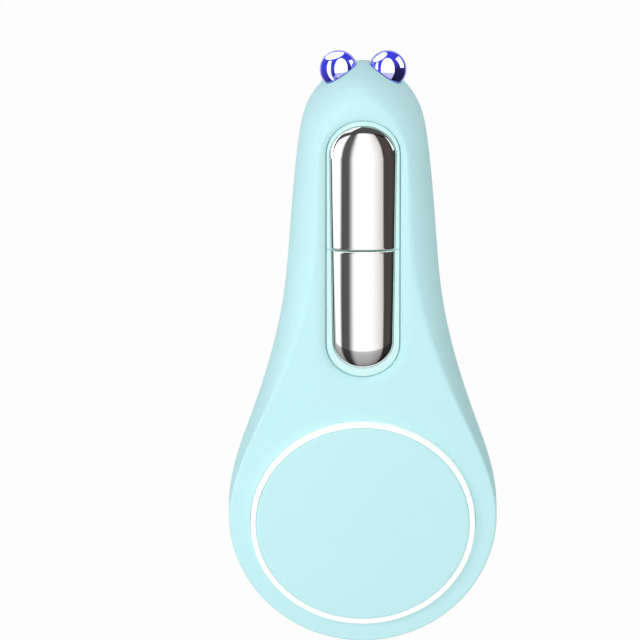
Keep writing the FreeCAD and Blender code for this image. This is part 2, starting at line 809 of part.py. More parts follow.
def electrode_tray():
    rim = obround("tray_rim", "tray_half_width", "tray_start", "tray_end", "tray_bottom", "tray_top")
    skirt = obround("tray_skirt", "tray_half_width + tray_flange_width", "tray_start - tray_flange_width",
                    "tray_end + tray_flange_width", "tray_bottom", "cavity_front")
    flange = shared("tray_flange", [form("cavity_inset + fit_gap"), skirt])
    recess = plate_form("tray_recess", number("plate_gap"))
    rib = block("tray_rib", "beyond", "split_gap - 2 * plate_gap", "body_depth",
                y="split_reach - split_gap / 2 + plate_gap")
    tools = [without("tray_recess_halves", recess, [rib])]
    tools += studs("tray_stud_hole", "plate_gap", "tray_bottom - fit_gap", "body_depth")
    subpart("electrode_tray", without("tray", joined("tray_solid", [rim, flange]), tools))


def electrodes():
    lead_top = "lead_height + lead_radius + contact_gap"
    lower_stud, upper_stud = studs("plate_stud", "0", lead_top, "plate_edge")
    for which, stud in (("lower", lower_stud), ("upper", upper_stud)):
        far_side = past_split(f"{which}_far_side", which == "lower")
        plate = without(f"{which}_plate", plate_form(f"{which}_form", 0), [far_side])
        subpart(f"{which}_electrode", joined(f"{which}_plate_solid", [plate, stud]))


# Balls at the head

def sphere_stem(name, gap, sign):
    return lying(name, f"sphere_stem_radius + ({gap})", "sphere_reach - stem_end_reach", "stem_end_reach",
                 "sphere_height", f"{sign} * sphere_offset")


def spheres():
    for side, sign in SIDES:
        contact = ball(f"{side}_ball", "sphere_radius", sign)
        stem = sphere_stem(f"{side}_stem", "0", sign)
        subpart(f"{side}_sphere", joined(f"{side}_ball_solid", [contact, stem]))


def sphere_cradle():
    holders = at_sides("cradle_holder", lambda name, sign: ball(name, "cradle_radius", sign))
    inside = shared("cradle_inside", [joined("cradle_solid", holders), form("shell_inset")])
    tools = at_sides("cradle_socket", lambda name, sign: ball(name, "sphere_radius + contact_gap", sign))
    tools += at_sides("cradle_stem_hole", lambda name, sign: sphere_stem(name, "contact_gap", sign))
    subpart("sphere_cradle", without("cradle", inside, tools))


# Board and what it carries

def main_board():
    body = body_of("main_board")
    disc = sketch_on(body, "board_disc_profile", "XY_Plane", "board_bottom")
    draw_circle(disc, "board_radius")
    pad(body, "board_disc", disc, "board_thickness")
    tab = sketch_on(body, "board_tab_profile", "XY_Plane", "board_bottom")
    half = "board_tab_half_width"
    end = "board_tab_reach"
    draw_polygon(tab, [(f"-{half}", "0"), (half, "0"), (half, end), (f"-{half}", end)])
    pad(body, "board_tab", tab, "board_thickness")
    holes = sketch_on(body, "board_holes_profile", "XY_Plane", "board_top")
    for _, sign in SIDES:
        for which, screw_size in (("base", "shell_screw_radius"), ("board", "board_screw_radius")):
            draw_circle(holes, f"{screw_size} + fit_gap", f"{sign} * {which}_screw_offset",
                        f"{which}_screw_reach")
    pocket(body, "board_holes", holes, "board_thickness")


def board_parts():
    width = "component_width"
    start = f"component_reach - {width} / 2"
    subpart("controller_chip", block("chip", width, width, "chip_height", "component_offset",
                                     start, "board_top"))
    subpart("boost_transformer", block("transformer", width, width, "transformer_height", "-component_offset",
                                       start, "board_top"))
    cans = []
    for index in range(CAPACITOR_COUNT):
        x = f"{index - (CAPACITOR_COUNT - 1) / 2} * capacitor_spacing"
        cans.append(cylinder(f"capacitor_{index}", "capacitor_radius", "capacitor_height",
                             x, "-capacitor_reach", "board_top"))
    subpart("board_capacitors", grouped("capacitors", cans))
    lights = []
    for index in range(LIGHT_COUNT):
        x, y = leg_spot(index)
        lights.append(block(f"led_{index}", "led_width", "led_width", "led_height", x,
                            f"{y} - led_width / 2", "board_top"))
    subpart("status_leds", grouped("leds", lights))


def click_switch():
    body = body_of("switch_body")
    half = "switch_width / 2"
    base = sketch_on(body, "switch_profile", "XY_Plane", "board_top")
    draw_polygon(base, [(f"-{half}", f"-{half}"), (half, f"-{half}"), (half, half), (f"-{half}", half)])
    pad(body, "switch_block", base, "switch_height")
    hole = sketch_on(body, "switch_hole_profile", "XY_Plane", "switch_top")
    draw_circle(hole, "plunger_radius + plunger_gap")
    pocket(body, "switch_hole", hole, "plunger_depth + button_travel + press_reserve")
    plunger = body_of("switch_plunger")
    face = sketch_on(plunger, "plunger_profile", "XY_Plane", "plunger_bottom")
    draw_circle(face, "plunger_radius")
    pad(plunger, "plunger_pin", face, "plunger_top - plunger_bottom")


# Cell and charging socket

def battery():
    body = body_of("battery_cell")
    half = "battery_width / 2"
    base = sketch_on(body, "battery_profile", "XY_Plane", "battery_bottom")
    draw_polygon(base, [(f"-{half}", "battery_start"), (half, "battery_start"), (half, "battery_end"),
                        (f"-{half}", "battery_end")])
    pouch = pad(body, "battery_pouch", base, "battery_thickness")
    document.recompute()
    upright = [f"Edge{index + 1}" for index, edge in enumerate(pouch.Shape.Edges)
               if edge.BoundBox.ZLength > number("battery_thickness") / 2]
    rounding = body.newObject("PartDesign::Fillet", "battery_corners")
    rounding.Base = (pouch, upright)
    bind(rounding, Radius="battery_corner_radius")
    subpart("battery_pad", block("pad_foam", "pad_width", "pad_length", "pad_thickness", "0",
                                 "battery_middle - pad_length / 2", "cavity_back"))


def charging_socket():
    housing = block("socket_housing", "socket_width", "socket_length", "socket_depth",
                    y="-socket_front_reach", z="socket_height - socket_depth / 2")
    mouth = "-socket_nose_end"
    nose = lying("socket_nose", "socket_nose_radius", "socket_nose_end - socket_front_reach", mouth,
                 "socket_height")
    bore = lying("socket_bore", "socket_bore_radius", "socket_bore_length", mouth, "socket_height")
    subpart("charging_socket", without("socket", joined("socket_solid", [housing, nose]), [bore]))


# Vibration motor

def along_motor(body, reach):
    """Lays a round piece down along the motor's axis."""
    body.Placement = FreeCAD.Placement(FreeCAD.Vector(), ALONG_Y)
    place(body, "0", reach, "motor_height")


def vibration_motor():
    can = body_of("motor_can")
    bore = "shaft_radius + shaft_gap"
    revolve(can, "can", [("0", "0"), ("motor_radius", "0"), ("motor_radius", "motor_length"),
                         (bore, "motor_length"), (bore, "motor_length - shaft_depth"),
                         ("0", "motor_length - shaft_depth")])
    along_motor(can, "motor_start")
    cap = body_of("motor_end_cap")
    revolve(cap, "end_cap", [("0", "0"), ("motor_cap_radius", "0"), ("motor_cap_radius", "motor_cap_length"),
                             ("0", "motor_cap_length")])
    along_motor(cap, "motor_start - motor_cap_length")
    shaft = body_of("motor_shaft")
    shaft_length = "shaft_depth - shaft_gap + weight_gap + weight_length"
    revolve(shaft, "shaft", [("0", "0"), ("shaft_radius", "0"), ("shaft_radius", shaft_length),
                             ("0", shaft_length)])
    along_motor(shaft, "motor_end - shaft_depth + shaft_gap")


def eccentric_weight():
    """A half disc on a round hub, clamped on the shaft."""
    hub = lying("weight_hub", "weight_hub_radius", "weight_length", "weight_start", "motor_height")
    disc = lying("weight_disc", "weight_radius", "weight_length", "weight_start", "motor_height")
    lower = block("weight_lower", "2 * weight_radius", "weight_length", "weight_radius", "0", "weight_start",
                  "motor_height - weight_radius")
    solid = joined("weight_solid", [hub, shared("weight_half", [disc, lower])])
    hole = lying("weight_hole", "shaft_radius + contact_gap / 2", "weight_length", "weight_start",
                 "motor_height")
    subpart("eccentric_weight", without("weight", solid, [hole]))


def motor_boot(lead_holes):
    """A rubber plug that fills the neck round the motor."""
    stretch = block("boot_stretch", "beyond", "boot_length", "tray_bottom - fit_gap", "0", "boot_start")
    plug = shared("boot_plug", [form("cavity_inset + fit_gap"), stretch])
    bore = lying("boot_bore", "motor_radius + contact_gap", "boot_length", "boot_start", "motor_height")
    subpart("motor_boot", without("boot", plug, [bore] + lead_holes))


# Screws

def screw(name, radius, head_radius, head_height, seat, end, x, y):
    head = cylinder(f"{name}_head", head_radius, head_height, x, y, f"{seat} - ({head_height})")
    shank = cylinder(f"{name}_shank", radius, f"({end}) - ({seat})", x, y, seat)
    return joined(name, [head, shank])


def screws():
    end = "cavity_front - screw_end_margin"
    long_ones = [screw(f"shell_screw_{spot}", "shell_screw_radius", "screw_head_radius", "screw_head_height",
                       "screw_seat", end, x, y) for spot, x, y in screw_spots()]
    subpart("shell_screws", grouped("shell_screw_set", long_ones))
    short_ones = at_sides("board_screw", lambda name, sign: screw(
        name, "board_screw_radius", "board_screw_head_radius", "board_screw_head_height", "board_bottom",
        "board_top + board_screw_grip", f"{sign} * board_screw_offset", "board_screw_reach"))
    subpart("board_screws", grouped("board_screw_set", short_ones))


# Wiring

def bent_leads(label, offset, route, bend):
    """Two like leads, one on each side; the route gives (reach, height) for each point."""
    leads = []
    for side, sign in SIDES:
        across = sign * number(offset)
        points = [FreeCAD.Vector(across, number(reach), number(height)) for reach, height in route]
        leads.append(solid_of(f"{label}_{side}", tube_along(points, number("lead_radius"), number(bend))))
    subpart(label, grouped(f"{label}_pair", leads))


def wiring():
    sphere_leads, plate_leads = straight_leads("lead", 0)
    subpart("sphere_leads", grouped("sphere_lead_pair", sphere_leads))
    subpart("electrode_leads", grouped("plate_lead_pair", plate_leads))
    bent_leads("motor_leads", "motor_lead_offset",
               [("motor_start - motor_cap_length", "motor_height"), ("motor_lead_reach", "motor_height"),
                ("motor_lead_reach", "board_bottom")], "motor_lead_bend")
    lead_level = "battery_bottom + battery_thickness - battery_lead_drop"
    bent_leads("battery_leads", "battery_lead_offset",
               [("battery_end", lead_level), ("battery_lead_reach", lead_level),
                ("battery_lead_reach", "board_bottom")], "battery_lead_bend")
    socket_reach = "socket_back - socket_lead_inset"
    bent_leads("socket_leads", "socket_lead_offset",
               [(socket_reach, "socket_top"), (socket_reach, "board_bottom")], "lead_radius")


def check_and_write():
    """Refuses a failed or empty piece, then writes each sub-part to its own file."""
    document.recompute()
    for thing in document.Objects:
        if "Invalid" in thing.State or "Error" in thing.State:
            raise RuntimeError(f"{thing.Label} failed: {thing.State}")
    for label, thing in subparts.items():
        if thing.Shape.isNull() or not thing.Shape.isValid() or not thing.Shape.Solids:
            raise RuntimeError(f"{label} has no valid solid")
    os.makedirs("parts", exist_ok=True)
    for label, thing in subparts.items():
        thing.Shape.exportStep(f"parts/{label}.step")
        print(label, len(thing.Shape.Solids), "solids", round(thing.Shape.Volume, 2), "cubic mm")


silicone_sleeve()
front_shell()
rear_shell()
shell_seal()
light_ring()
button_cap()
button_carrier()
button_cushion()
electrode_tray()
electrodes()
spheres()
sphere_cradle()
main_board()
board_parts()
click_switch()
battery()
charging_socket()
vibration_motor()
eccentric_weight()
boot_holes = straight_leads("boot_lead_hole", number("lead_hole_gap"))
motor_boot(boot_holes[0] + boot_holes[1])
screws()
wiring()
check_and_write()
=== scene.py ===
import json
import math

import bmesh
import bpy
import numpy as np
from bpy.props import FloatProperty, FloatVectorProperty, PointerProperty
from mathutils import Matrix, Vector
from mathutils.geometry import interpolate_bezier


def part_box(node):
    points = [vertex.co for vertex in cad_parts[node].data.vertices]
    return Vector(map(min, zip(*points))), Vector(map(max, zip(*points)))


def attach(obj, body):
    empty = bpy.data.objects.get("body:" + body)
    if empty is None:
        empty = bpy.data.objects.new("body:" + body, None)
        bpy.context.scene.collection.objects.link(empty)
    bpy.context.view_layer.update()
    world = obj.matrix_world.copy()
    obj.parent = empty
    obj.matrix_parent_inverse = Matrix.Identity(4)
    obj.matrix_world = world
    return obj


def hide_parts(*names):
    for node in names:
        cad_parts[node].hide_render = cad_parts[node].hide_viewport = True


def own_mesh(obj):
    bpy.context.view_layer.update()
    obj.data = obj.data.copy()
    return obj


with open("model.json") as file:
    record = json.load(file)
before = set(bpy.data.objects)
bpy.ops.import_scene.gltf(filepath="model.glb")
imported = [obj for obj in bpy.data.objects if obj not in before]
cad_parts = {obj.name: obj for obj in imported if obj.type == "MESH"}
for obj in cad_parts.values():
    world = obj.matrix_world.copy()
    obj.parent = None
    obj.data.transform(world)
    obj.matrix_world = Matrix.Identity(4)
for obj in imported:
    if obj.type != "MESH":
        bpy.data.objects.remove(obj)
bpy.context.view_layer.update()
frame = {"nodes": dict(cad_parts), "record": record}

bl_info = {
    "name": "Microcurrent eye device",
    "version": (1, 0, 0),
    "blender": (4, 5, 0),
    "location": "View3D > Sidebar > Eye device",
    "description": "Builds the outside of a hand-held eye device round its packed construction",
    "category": "Add Mesh",
}

MM = 0.001
SLEEVE_LOW, SLEEVE_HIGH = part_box("silicone_sleeve")
RING_LOW, RING_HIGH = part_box("light_ring")
CAP_LOW, CAP_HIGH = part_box("button_cap")
BALL_LOW, BALL_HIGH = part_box("right_sphere")
CUSHION_LOW, CUSHION_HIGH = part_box("button_cushion")
PAD_LOW, PAD_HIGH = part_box("battery_pad")
SOCKET_LOW, SOCKET_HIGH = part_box("charging_socket")


def length(name, description, default):
    return FloatProperty(name=name, description=description, default=default, unit="LENGTH", precision=5)


def colour(name, description, default):
    return FloatVectorProperty(name=name, description=description, default=default, subtype="COLOR",
                               size=3, min=0.0, max=1.0)


class BodySizes(bpy.types.PropertyGroup):
    """Outer form of the skin"""
    depth: length("Depth", "From the flat back to the front face", SLEEVE_HIGH.z)
    wall: length("Wall", "Thickness of the skin", 1.4 * MM)
    base_half_width: length("Base half width", "Half the widest part of the base", 22.3 * MM)
    base_end_reach: length("Base end", "From the button's middle to the round end", 22.4 * MM)
    base_wide_reach: length("Base middle", "How far ahead of the button the base is widest", 1.2 * MM)
    base_wide_height: length("Base wide height", "Height at which the base is widest", 21.0 * MM)
    base_back_draw: length("Base back draw", "How far the base draws in towards the back", 9.8 * MM)
    front_edge_radius: length("Front edge", "Rounding of the base's front edge", 0.4 * MM)
    neck_half_width: length("Neck half width", "Half the width of the neck", 12.3 * MM)
    neck_reach: length("Neck reach", "Where the base has narrowed to the neck", 46.0 * MM)
    neck_wide_height: length("Neck wide height", "Height at which the neck is widest", 13.0 * MM)
    neck_back_draw: length("Neck back draw", "How far the neck draws in towards the back", 8.1 * MM)
    neck_front_draw: length("Neck front draw", "How far the neck draws in towards the front", 4.4 * MM)
    neck_round_height: length("Neck rounding", "Height of the neck's front rounding", 9.0 * MM)
    brow_half_width: length("Brow half width", "Half the width where the head starts to close", 10.6 * MM)
    brow_reach: length("Brow reach", "Where the head starts to close", 66.8 * MM)
    temple_half_width: length("Temple half width", "Half the width behind the balls", 8.9 * MM)
    temple_reach: length("Temple reach", "Place of that width along the body", 73.8 * MM)
    head_reach: length("Head reach", "From the button's middle to the head's tip", 81.0 * MM)
    head_wide_height: length("Head wide height", "Height at which the head reaches furthest", 19.5 * MM)
    head_back_draw: length("Head back draw", "How far the head draws in towards the back", 35.0 * MM)
    head_front_draw: length("Head front draw", "How far the head draws in towards the front", 3.6 * MM)
    lip_width: length("Lip width", "Width of the rolled edge round the long contact", 2.0 * MM)
    lip_depth: length("Lip depth", "Depth of that rolled edge", 0.9 * MM)
    plug_hole_radius: length("Plug hole", "Radius of the hole for the charging plug", 3.6 * MM)


class ContactSizes(bpy.types.PropertyGroup):
    """Long contact in the neck and its tray"""
    tray_half_width: length("Tray half width", "Half the width of the tray's rim", 6.07 * MM)
    tray_start: length("Tray start", "Where the tray starts", 26.6 * MM)
    tray_end: length("Tray end", "Where the tray ends", 73.7 * MM)
    tray_bottom: length("Tray bottom", "Underside of the tray", 22.2 * MM)
    tray_top: length("Tray top", "Height of the tray's rim", 25.2 * MM)
    flange_width: length("Flange width", "How far the tray's flange stands out", 1.0 * MM)
    flange_height: length("Flange height", "Thickness of the flange", 0.9 * MM)
    gap: length("Gap", "Gap between the tray and the skin", 0.12 * MM)
    rim_rounding: length("Rim rounding", "Rounding of the rim's edges", 0.14 * MM)
    plate_half_width: length("Plate half width", "Half the contact's width at its head end", 5.5 * MM)
    foot_half_width: length("Foot half width", "Half the contact's width at its foot", 5.0 * MM)
    plate_start: length("Plate start", "Where the contact starts", 28.2 * MM)
    plate_end: length("Plate end", "Where the contact ends", 72.75 * MM)
    plate_seat: length("Plate seat", "Underside of the contact", 24.3 * MM)
    plate_edge: length("Plate edge", "Height at which the crown starts", 25.15 * MM)
    plate_crown: length("Plate crown", "Rise of the crown", 0.85 * MM)
    split_reach: length("Split", "Place of the line between the two halves", 50.15 * MM)
    split_gap: length("Split gap", "Width of that line", 0.35 * MM)


class ButtonSizes(bpy.types.PropertyGroup):
    """Button and light ring"""
    ring_radius: length("Ring radius", "Outer radius of the light ring", RING_HIGH.x)
    ring_width: length("Ring width", "Width of the light ring", 0.85 * MM)
    flange_width: length("Ring flange", "Width of the ring with its inner flange", 2.4 * MM)
    flange_height: length("Ring flange height", "Thickness of the flange", 0.4 * MM)
    flange_bottom: length("Ring seat", "Height of the ring's underside", 24.5 * MM)
    leg_radius: length("Leg radius", "Radius of the legs that bring the light up", 0.8 * MM)
    leg_circle: length("Leg circle", "Distance of the legs from the middle", 17.3 * MM)
    ring_rounding: length("Ring rounding", "Rounding of the ring's top edges", 0.14 * MM)
    cap_rounding: length("Cap rounding", "Rounding of the button's edge", 0.2 * MM)
    cushion_inner: length("Cushion inner radius", "Inner radius of the foam ring", 12.0 * MM)
    travel: length("Travel", "How far the button goes in", 0.5 * MM)


class BallSizes(bpy.types.PropertyGroup):
    """Ball contacts and charging socket"""
    radius: length("Ball radius", "Radius of a ball contact", BALL_HIGH.y - 79.65 * MM)
    reach: length("Ball reach", "Place of the balls along the body", 79.65 * MM)
    offset: length("Ball offset", "Distance of a ball from the middle", 4.04 * MM)
    height: length("Ball height", "Height of the balls' middle", 17.7 * MM)
    gap: length("Ball gap", "Gap between a ball and the skin", 0.05 * MM)
    stem_radius: length("Stem radius", "Radius of a ball's stem", 1.0 * MM)
    stem_gap: length("Stem gap", "Gap round a ball's stem", 0.1 * MM)
    nose_radius: length("Nose radius", "Radius of the charging socket's nose", 2.5 * MM)
    nose_start: length("Housing front", "Where the socket's housing starts", -16.5 * MM)
    bore_radius: length("Bore radius", "Radius of the hole for the plug's pin", 1.25 * MM)
    bore_length: length("Bore length", "Depth of that hole", 8.5 * MM)


class DeviceColours(bpy.types.PropertyGroup):
    """Colours of what can be seen"""
    mint: colour("Mint", "Silicone of the skin and the button", (0.590, 0.886, 0.927))
    ring: colour("Ring white", "Diffuser plastic of the light ring", (0.93, 0.94, 0.93))
    tray: colour("Tray mint", "Plastic rim round the long contact", (0.68, 0.94, 0.95))
    chrome: colour("Chrome", "Plating of the long contact", (0.93, 0.925, 0.92))
    ball: colour("Ball blue", "Blue-violet plating of the balls", (0.22, 0.23, 0.80))
    socket: colour("Socket black", "Plastic of the charging socket", (0.035, 0.035, 0.04))
    foam: colour("Foam", "Foam of the button's ring and the cell's pad", (0.16, 0.16, 0.17))


# Finish of each inner piece: colour, roughness, metal share, grain size, grain depth, shade range
INNER_FINISHES = {
    "casing_white": ((0.80, 0.81, 0.81), 0.42, 0.0, 0.35 * MM, 0.006 * MM, 0.03),
    "seal_grey": ((0.24, 0.25, 0.26), 0.70, 0.0, 0.25 * MM, 0.010 * MM, 0.08),
    "socket_black": ((0.035, 0.035, 0.04), 0.45, 0.0, 0.25 * MM, 0.006 * MM, 0.10),
    "plunger_red": ((0.48, 0.07, 0.06), 0.38, 0.0, 0.30 * MM, 0.004 * MM, 0.06),
    "chip_black": ((0.03, 0.03, 0.035), 0.60, 0.0, 0.15 * MM, 0.008 * MM, 0.15),
    "ferrite_grey": ((0.13, 0.13, 0.14), 0.55, 0.0, 0.20 * MM, 0.012 * MM, 0.15),
    "capacitor_metal": ((0.70, 0.71, 0.72), 0.28, 1.0, 0.40 * MM, 0.002 * MM, 0.04),
    "led_clear": ((0.88, 0.90, 0.93), 0.12, 0.0, 0.60 * MM, 0.001 * MM, 0.02),
    "battery_foil": ((0.62, 0.64, 0.68), 0.32, 1.0, 1.50 * MM, 0.050 * MM, 0.05),
    "steel": ((0.60, 0.60, 0.60), 0.30, 1.0, 0.20 * MM, 0.003 * MM, 0.06),
    "lead_red": ((0.60, 0.09, 0.07), 0.40, 0.0, 0.40 * MM, 0.003 * MM, 0.05),
    "lead_white": ((0.80, 0.80, 0.78), 0.40, 0.0, 0.40 * MM, 0.003 * MM, 0.03),
}

# Share of the way along the base's side, and of its narrowing that is left there
SIDE_STATIONS = ((0.283, 0.72), (0.543, 0.345), (0.772, 0.12), (1.0, 0.0))
FLANK_SHARE = SIDE_STATIONS[1][0]
# How far the cuts for the window, the ring, a ball's stem and the plug go in or past
WINDOW_CUT = 6 * MM
RING_CUT = 4 * MM
STEM_CUT = 9 * MM
PLUG_CUT = 5 * MM
PLUG_INSIDE = 6 * MM
WINDOW_PAST = 2 * MM
# Clearances and small roundings
LEAST_ROUNDING = 0.3 * MM
RING_GAP = 0.1 * MM
PLATE_GAP = 0.05 * MM
CASING_ROOM = 1.5 * MM
SEAM_SUPPORT = 0.3 * MM
SEAM_ROUNDING = 0.08 * MM
STEM_ROUNDING = 0.15 * MM
NOSE_BEVEL = 0.3 * MM
# Points nearer than these are welded, or count as one place
WELD = 0.0001 * MM
SAME_PLACE = 0.001 * MM
# Distance of the balls' studio cards
BALL_CARD_REACH = 27 * MM
RING_STEPS = 12
ROUND_STEPS = 128
CAMERA_BACK = Vector((0.0, 0.4446, 0.8957))
CAMERA_UP = Vector((0.0, 0.8957, -0.4446))
VIEW_CENTRE = Vector((-7.13, 37.89, 26.8)) * MM
VIEW_WIDTH = 106.09 * MM
CAMERA_LENS = 1200.0
CAMERA_SENSOR = 36.0


def drawn_in(height, inset, back, wide, front, round_start, depth):
    """How far a form draws in at a height: below its widest level, and at its front rounding."""
    if height < wide:
        share = (wide - height) / (wide - inset)
        return back * (1 - math.sqrt(max(0.0, 1 - share * share)))
    if height > round_start:
        share = (height - round_start) / (depth - inset - round_start)
        return front * (1 - math.sqrt(max(0.0, 1 - share * share)))
    return 0.0


def front_rounding(outer, inset):
    return max(outer - inset, LEAST_ROUNDING)


def half_outline(body, height, inset):
    """Points of the right half of the body's outline at a height, from the base's end to the head's tip."""
    edge = front_rounding(body.front_edge_radius, inset)
    base_in = drawn_in(height, inset, body.base_back_draw - inset, body.base_wide_height, edge,
                       body.depth - inset - edge, body.depth)
    neck_in = drawn_in(height, inset, body.neck_back_draw - inset, body.neck_wide_height,
                       front_rounding(body.neck_front_draw, inset), body.depth - body.neck_round_height,
                       body.depth)
    head_in = drawn_in(height, inset, body.head_back_draw - inset, body.head_wide_height,
                       front_rounding(body.head_front_draw, inset), body.head_wide_height, body.depth)
    head = body.head_reach - inset - head_in
    flank = FLANK_SHARE * body.neck_reach
    stretch = (head - flank) / (body.head_reach - inset - flank)

    def stretched(reach):
        return flank + (reach - flank) * stretch if reach > flank else reach

    points = []
    for angle in (-90, -60, -30, 0):
        across = (body.base_half_width - inset - base_in) * math.cos(math.radians(angle))
        along = (body.base_end_reach + body.base_wide_reach - inset - base_in) * math.sin(math.radians(angle))
        points.append((across, body.base_wide_reach + along))
    first_share = SIDE_STATIONS[0][0]
    for reach_share, width_share in SIDE_STATIONS:
        share = (reach_share - first_share) / (1 - first_share)
        side_in = base_in + (neck_in - base_in) * share
        spread = width_share * (body.base_half_width - body.neck_half_width)
        points.append((body.neck_half_width + spread - inset - side_in,
                       stretched(reach_share * body.neck_reach)))
    slim = 1 - neck_in / (body.neck_half_width - inset)
    for across, reach in ((body.brow_half_width, body.brow_reach),
                          (body.temple_half_width, body.temple_reach)):
        rise = reach - body.brow_reach
        spread = math.hypot(across, rise)
        points.append(((across - inset * across / spread) * slim,
                       stretched(reach - inset * rise / spread)))
    points.append((0.0, head))
    points[0] = (0.0, points[0][1])
    return points


def smooth_ring(points, height):
    """A smooth closed line through points in one level."""
    spots = np.array(points)
    count = len(spots)
    after = np.roll(spots, -1, axis=0)
    spans = np.linalg.norm(after - spots, axis=1)
    before = np.roll(spans, 1)
    slopes = (after - spots) / spans[:, None]
    system = np.diag(2 * (before + spans))
    for index in range(count):
        system[index, index - 1] += spans[index]
        system[index, (index + 1) % count] += before[index]
    wanted = 3 * (spans[:, None] * np.roll(slopes, 1, axis=0) + before[:, None] * slopes)
    tangents = np.linalg.solve(system, wanted)
    line = []
    for index in range(count):
        ahead = (index + 1) % count
        reach = spans[index] / 3
        knots = (spots[index], spots[index] + tangents[index] * reach,
                 spots[ahead] - tangents[ahead] * reach, spots[ahead])
        handles = [Vector((x, y, height)) for x, y in knots]
        line += interpolate_bezier(*handles, RING_STEPS + 1)[:-1]
    return line


def body_levels(body, inset):
    """Outlines of the body from the back to the front, drawn in by a wall."""
    edge = front_rounding(body.front_edge_radius, inset)
    side_top = body.depth - inset - edge
    heights = [inset + (body.base_wide_height - inset) * (1 - math.cos(math.radians(angle)))
               for angle in range(0, 61, 6)]
    heights += list(np.linspace(heights[-1], side_top, 26))[1:-1]
    heights += [side_top + edge * math.sin(math.radians(angle)) for angle in range(0, 91, 9)]
    levels = []
    for height in heights:
        right = half_outline(body, height, inset)
        left = [(-x, y) for x, y in reversed(right[1:-1])]
        levels.append(smooth_ring(right + left, height))
    return levels


def bar_ring(near_radius, near, far_radius, far, height, steps=24):
    """A round-ended bar's outline, anticlockwise from the foot of its right side."""
    lean = math.asin((near_radius - far_radius) / (far - near))
    line = []
    for centre, radius, start, end in ((far, far_radius, lean, math.pi - lean),
                                       (near, near_radius, math.pi - lean, 2 * math.pi + lean)):
        for angle in np.linspace(start, end, steps):
            line.append(Vector((radius * math.cos(angle), centre + radius * math.sin(angle), height)))
    return line


def lofted(levels):
    """A closed skin through rings of points, each grown from the one before."""
    shape = bmesh.new()
    place = shape.verts.layers.int.new("place")
    ring = bmesh.ops.create_circle(shape, segments=len(levels[0]), radius=1.0)["verts"]
    for index, vert in enumerate(ring):
        vert[place] = index
        vert.co = levels[0][index]
    edges = list(shape.edges)
    for level in levels[1:]:
        grown = bmesh.ops.extrude_edge_only(shape, edges=edges)["geom"]
        verts = {item for item in grown if isinstance(item, bmesh.types.BMVert)}
        for vert in verts:
            vert.co = level[vert[place]]
        edges = [item for item in grown if isinstance(item, bmesh.types.BMEdge) and set(item.verts) <= verts]
    bmesh.ops.remove_doubles(shape, verts=shape.verts, dist=WELD)
    close_holes(shape)
    return shape


def close_holes(shape):
    bmesh.ops.holes_fill(shape, edges=[edge for edge in shape.edges if edge.is_boundary])
    bmesh.ops.recalc_face_normals(shape, faces=shape.faces)


def turned(corners, axis=Vector((0, 0, 1)), centre=Vector()):
    """A round piece from (radius, height) corners turned about an axis through a centre."""
    shape = bmesh.new()
    side = Vector((1, 0, 0))
    verts = [shape.verts.new(centre + side * radius + axis * height) for radius, height in corners]
    edges = [shape.edges.new(pair) for pair in zip(verts, verts[1:])]
    bmesh.ops.spin(shape, geom=verts + edges, cent=centre, axis=axis, angle=2 * math.pi,
                   steps=ROUND_STEPS, use_merge=True)
    bmesh.ops.remove_doubles(shape, verts=shape.verts, dist=WELD)
    bmesh.ops.recalc_face_normals(shape, faces=shape.faces)
    return shape


def round_edges(shape, edges, offset, segments=4):
    bmesh.ops.bevel(shape, geom=list(edges), offset=offset, offset_type="OFFSET", segments=segments,
                    profile=0.5, affect="EDGES", material=-1, clamp_overlap=True)


def sliced(shape, place, way, clear=False):
    """Cuts a plane through a shape, clears what is beyond if asked, and gives the cut's edges."""
    geometry = [*shape.verts, *shape.edges, *shape.faces]
    made = bmesh.ops.bisect_plane(shape, geom=geometry, plane_co=place, plane_no=way, clear_outer=clear)
    return [item for item in made["geom_cut"] if isinstance(item, bmesh.types.BMEdge)]


def level_edges(shape, height):
    """Edges that lie in one level."""
    return [edge for edge in shape.edges
            if all(abs(vert.co.z - height) < SAME_PLACE for vert in edge.verts)]


def box_shape(low, high):
    shape = bmesh.new()
    low, high = Vector(low), Vector(high)
    bmesh.ops.create_cube(shape, size=1.0)
    bmesh.ops.scale(shape, vec=high - low, verts=shape.verts)
    bmesh.ops.translate(shape, vec=(low + high) / 2, verts=shape.verts)
    return shape


def rod_shape(start, end, radius, segments=64):
    """A plain round rod along Y or Z, as a tool."""
    shape = bmesh.new()
    run = Vector(end) - Vector(start)
    turn = Vector((0, 0, 1)).rotation_difference(run).to_matrix().to_4x4()
    place = Matrix.Translation((Vector(start) + Vector(end)) / 2) @ turn
    bmesh.ops.create_cone(shape, cap_ends=True, segments=segments, radius1=radius, radius2=radius,
                          depth=run.length, matrix=place)
    return shape


def piece_of(shape, name):
    mesh = bpy.data.meshes.new(name)
    shape.to_mesh(mesh)
    shape.free()
    piece = bpy.data.objects.new(name, mesh)
    bpy.context.scene.collection.objects.link(piece)
    return piece


def worked(piece, tools, operation="DIFFERENCE"):
    """Cuts tools out of a piece, or joins them to it, and clears them away."""
    helpers = [piece_of(shape, "tool") for shape in tools]
    for helper in helpers:
        step = piece.modifiers.new("work", "BOOLEAN")
        step.operation = operation
        step.solver = "EXACT"
        step.object = helper
    graph = bpy.context.evaluated_depsgraph_get()
    finished = bpy.data.meshes.new_from_object(piece.evaluated_get(graph))
    piece.modifiers.clear()
    rough = piece.data
    piece.data = finished
    finished.name = piece.name
    bpy.data.meshes.remove(rough)
    for helper in helpers:
        mesh = helper.data
        bpy.data.objects.remove(helper)
        bpy.data.meshes.remove(mesh)
    return piece


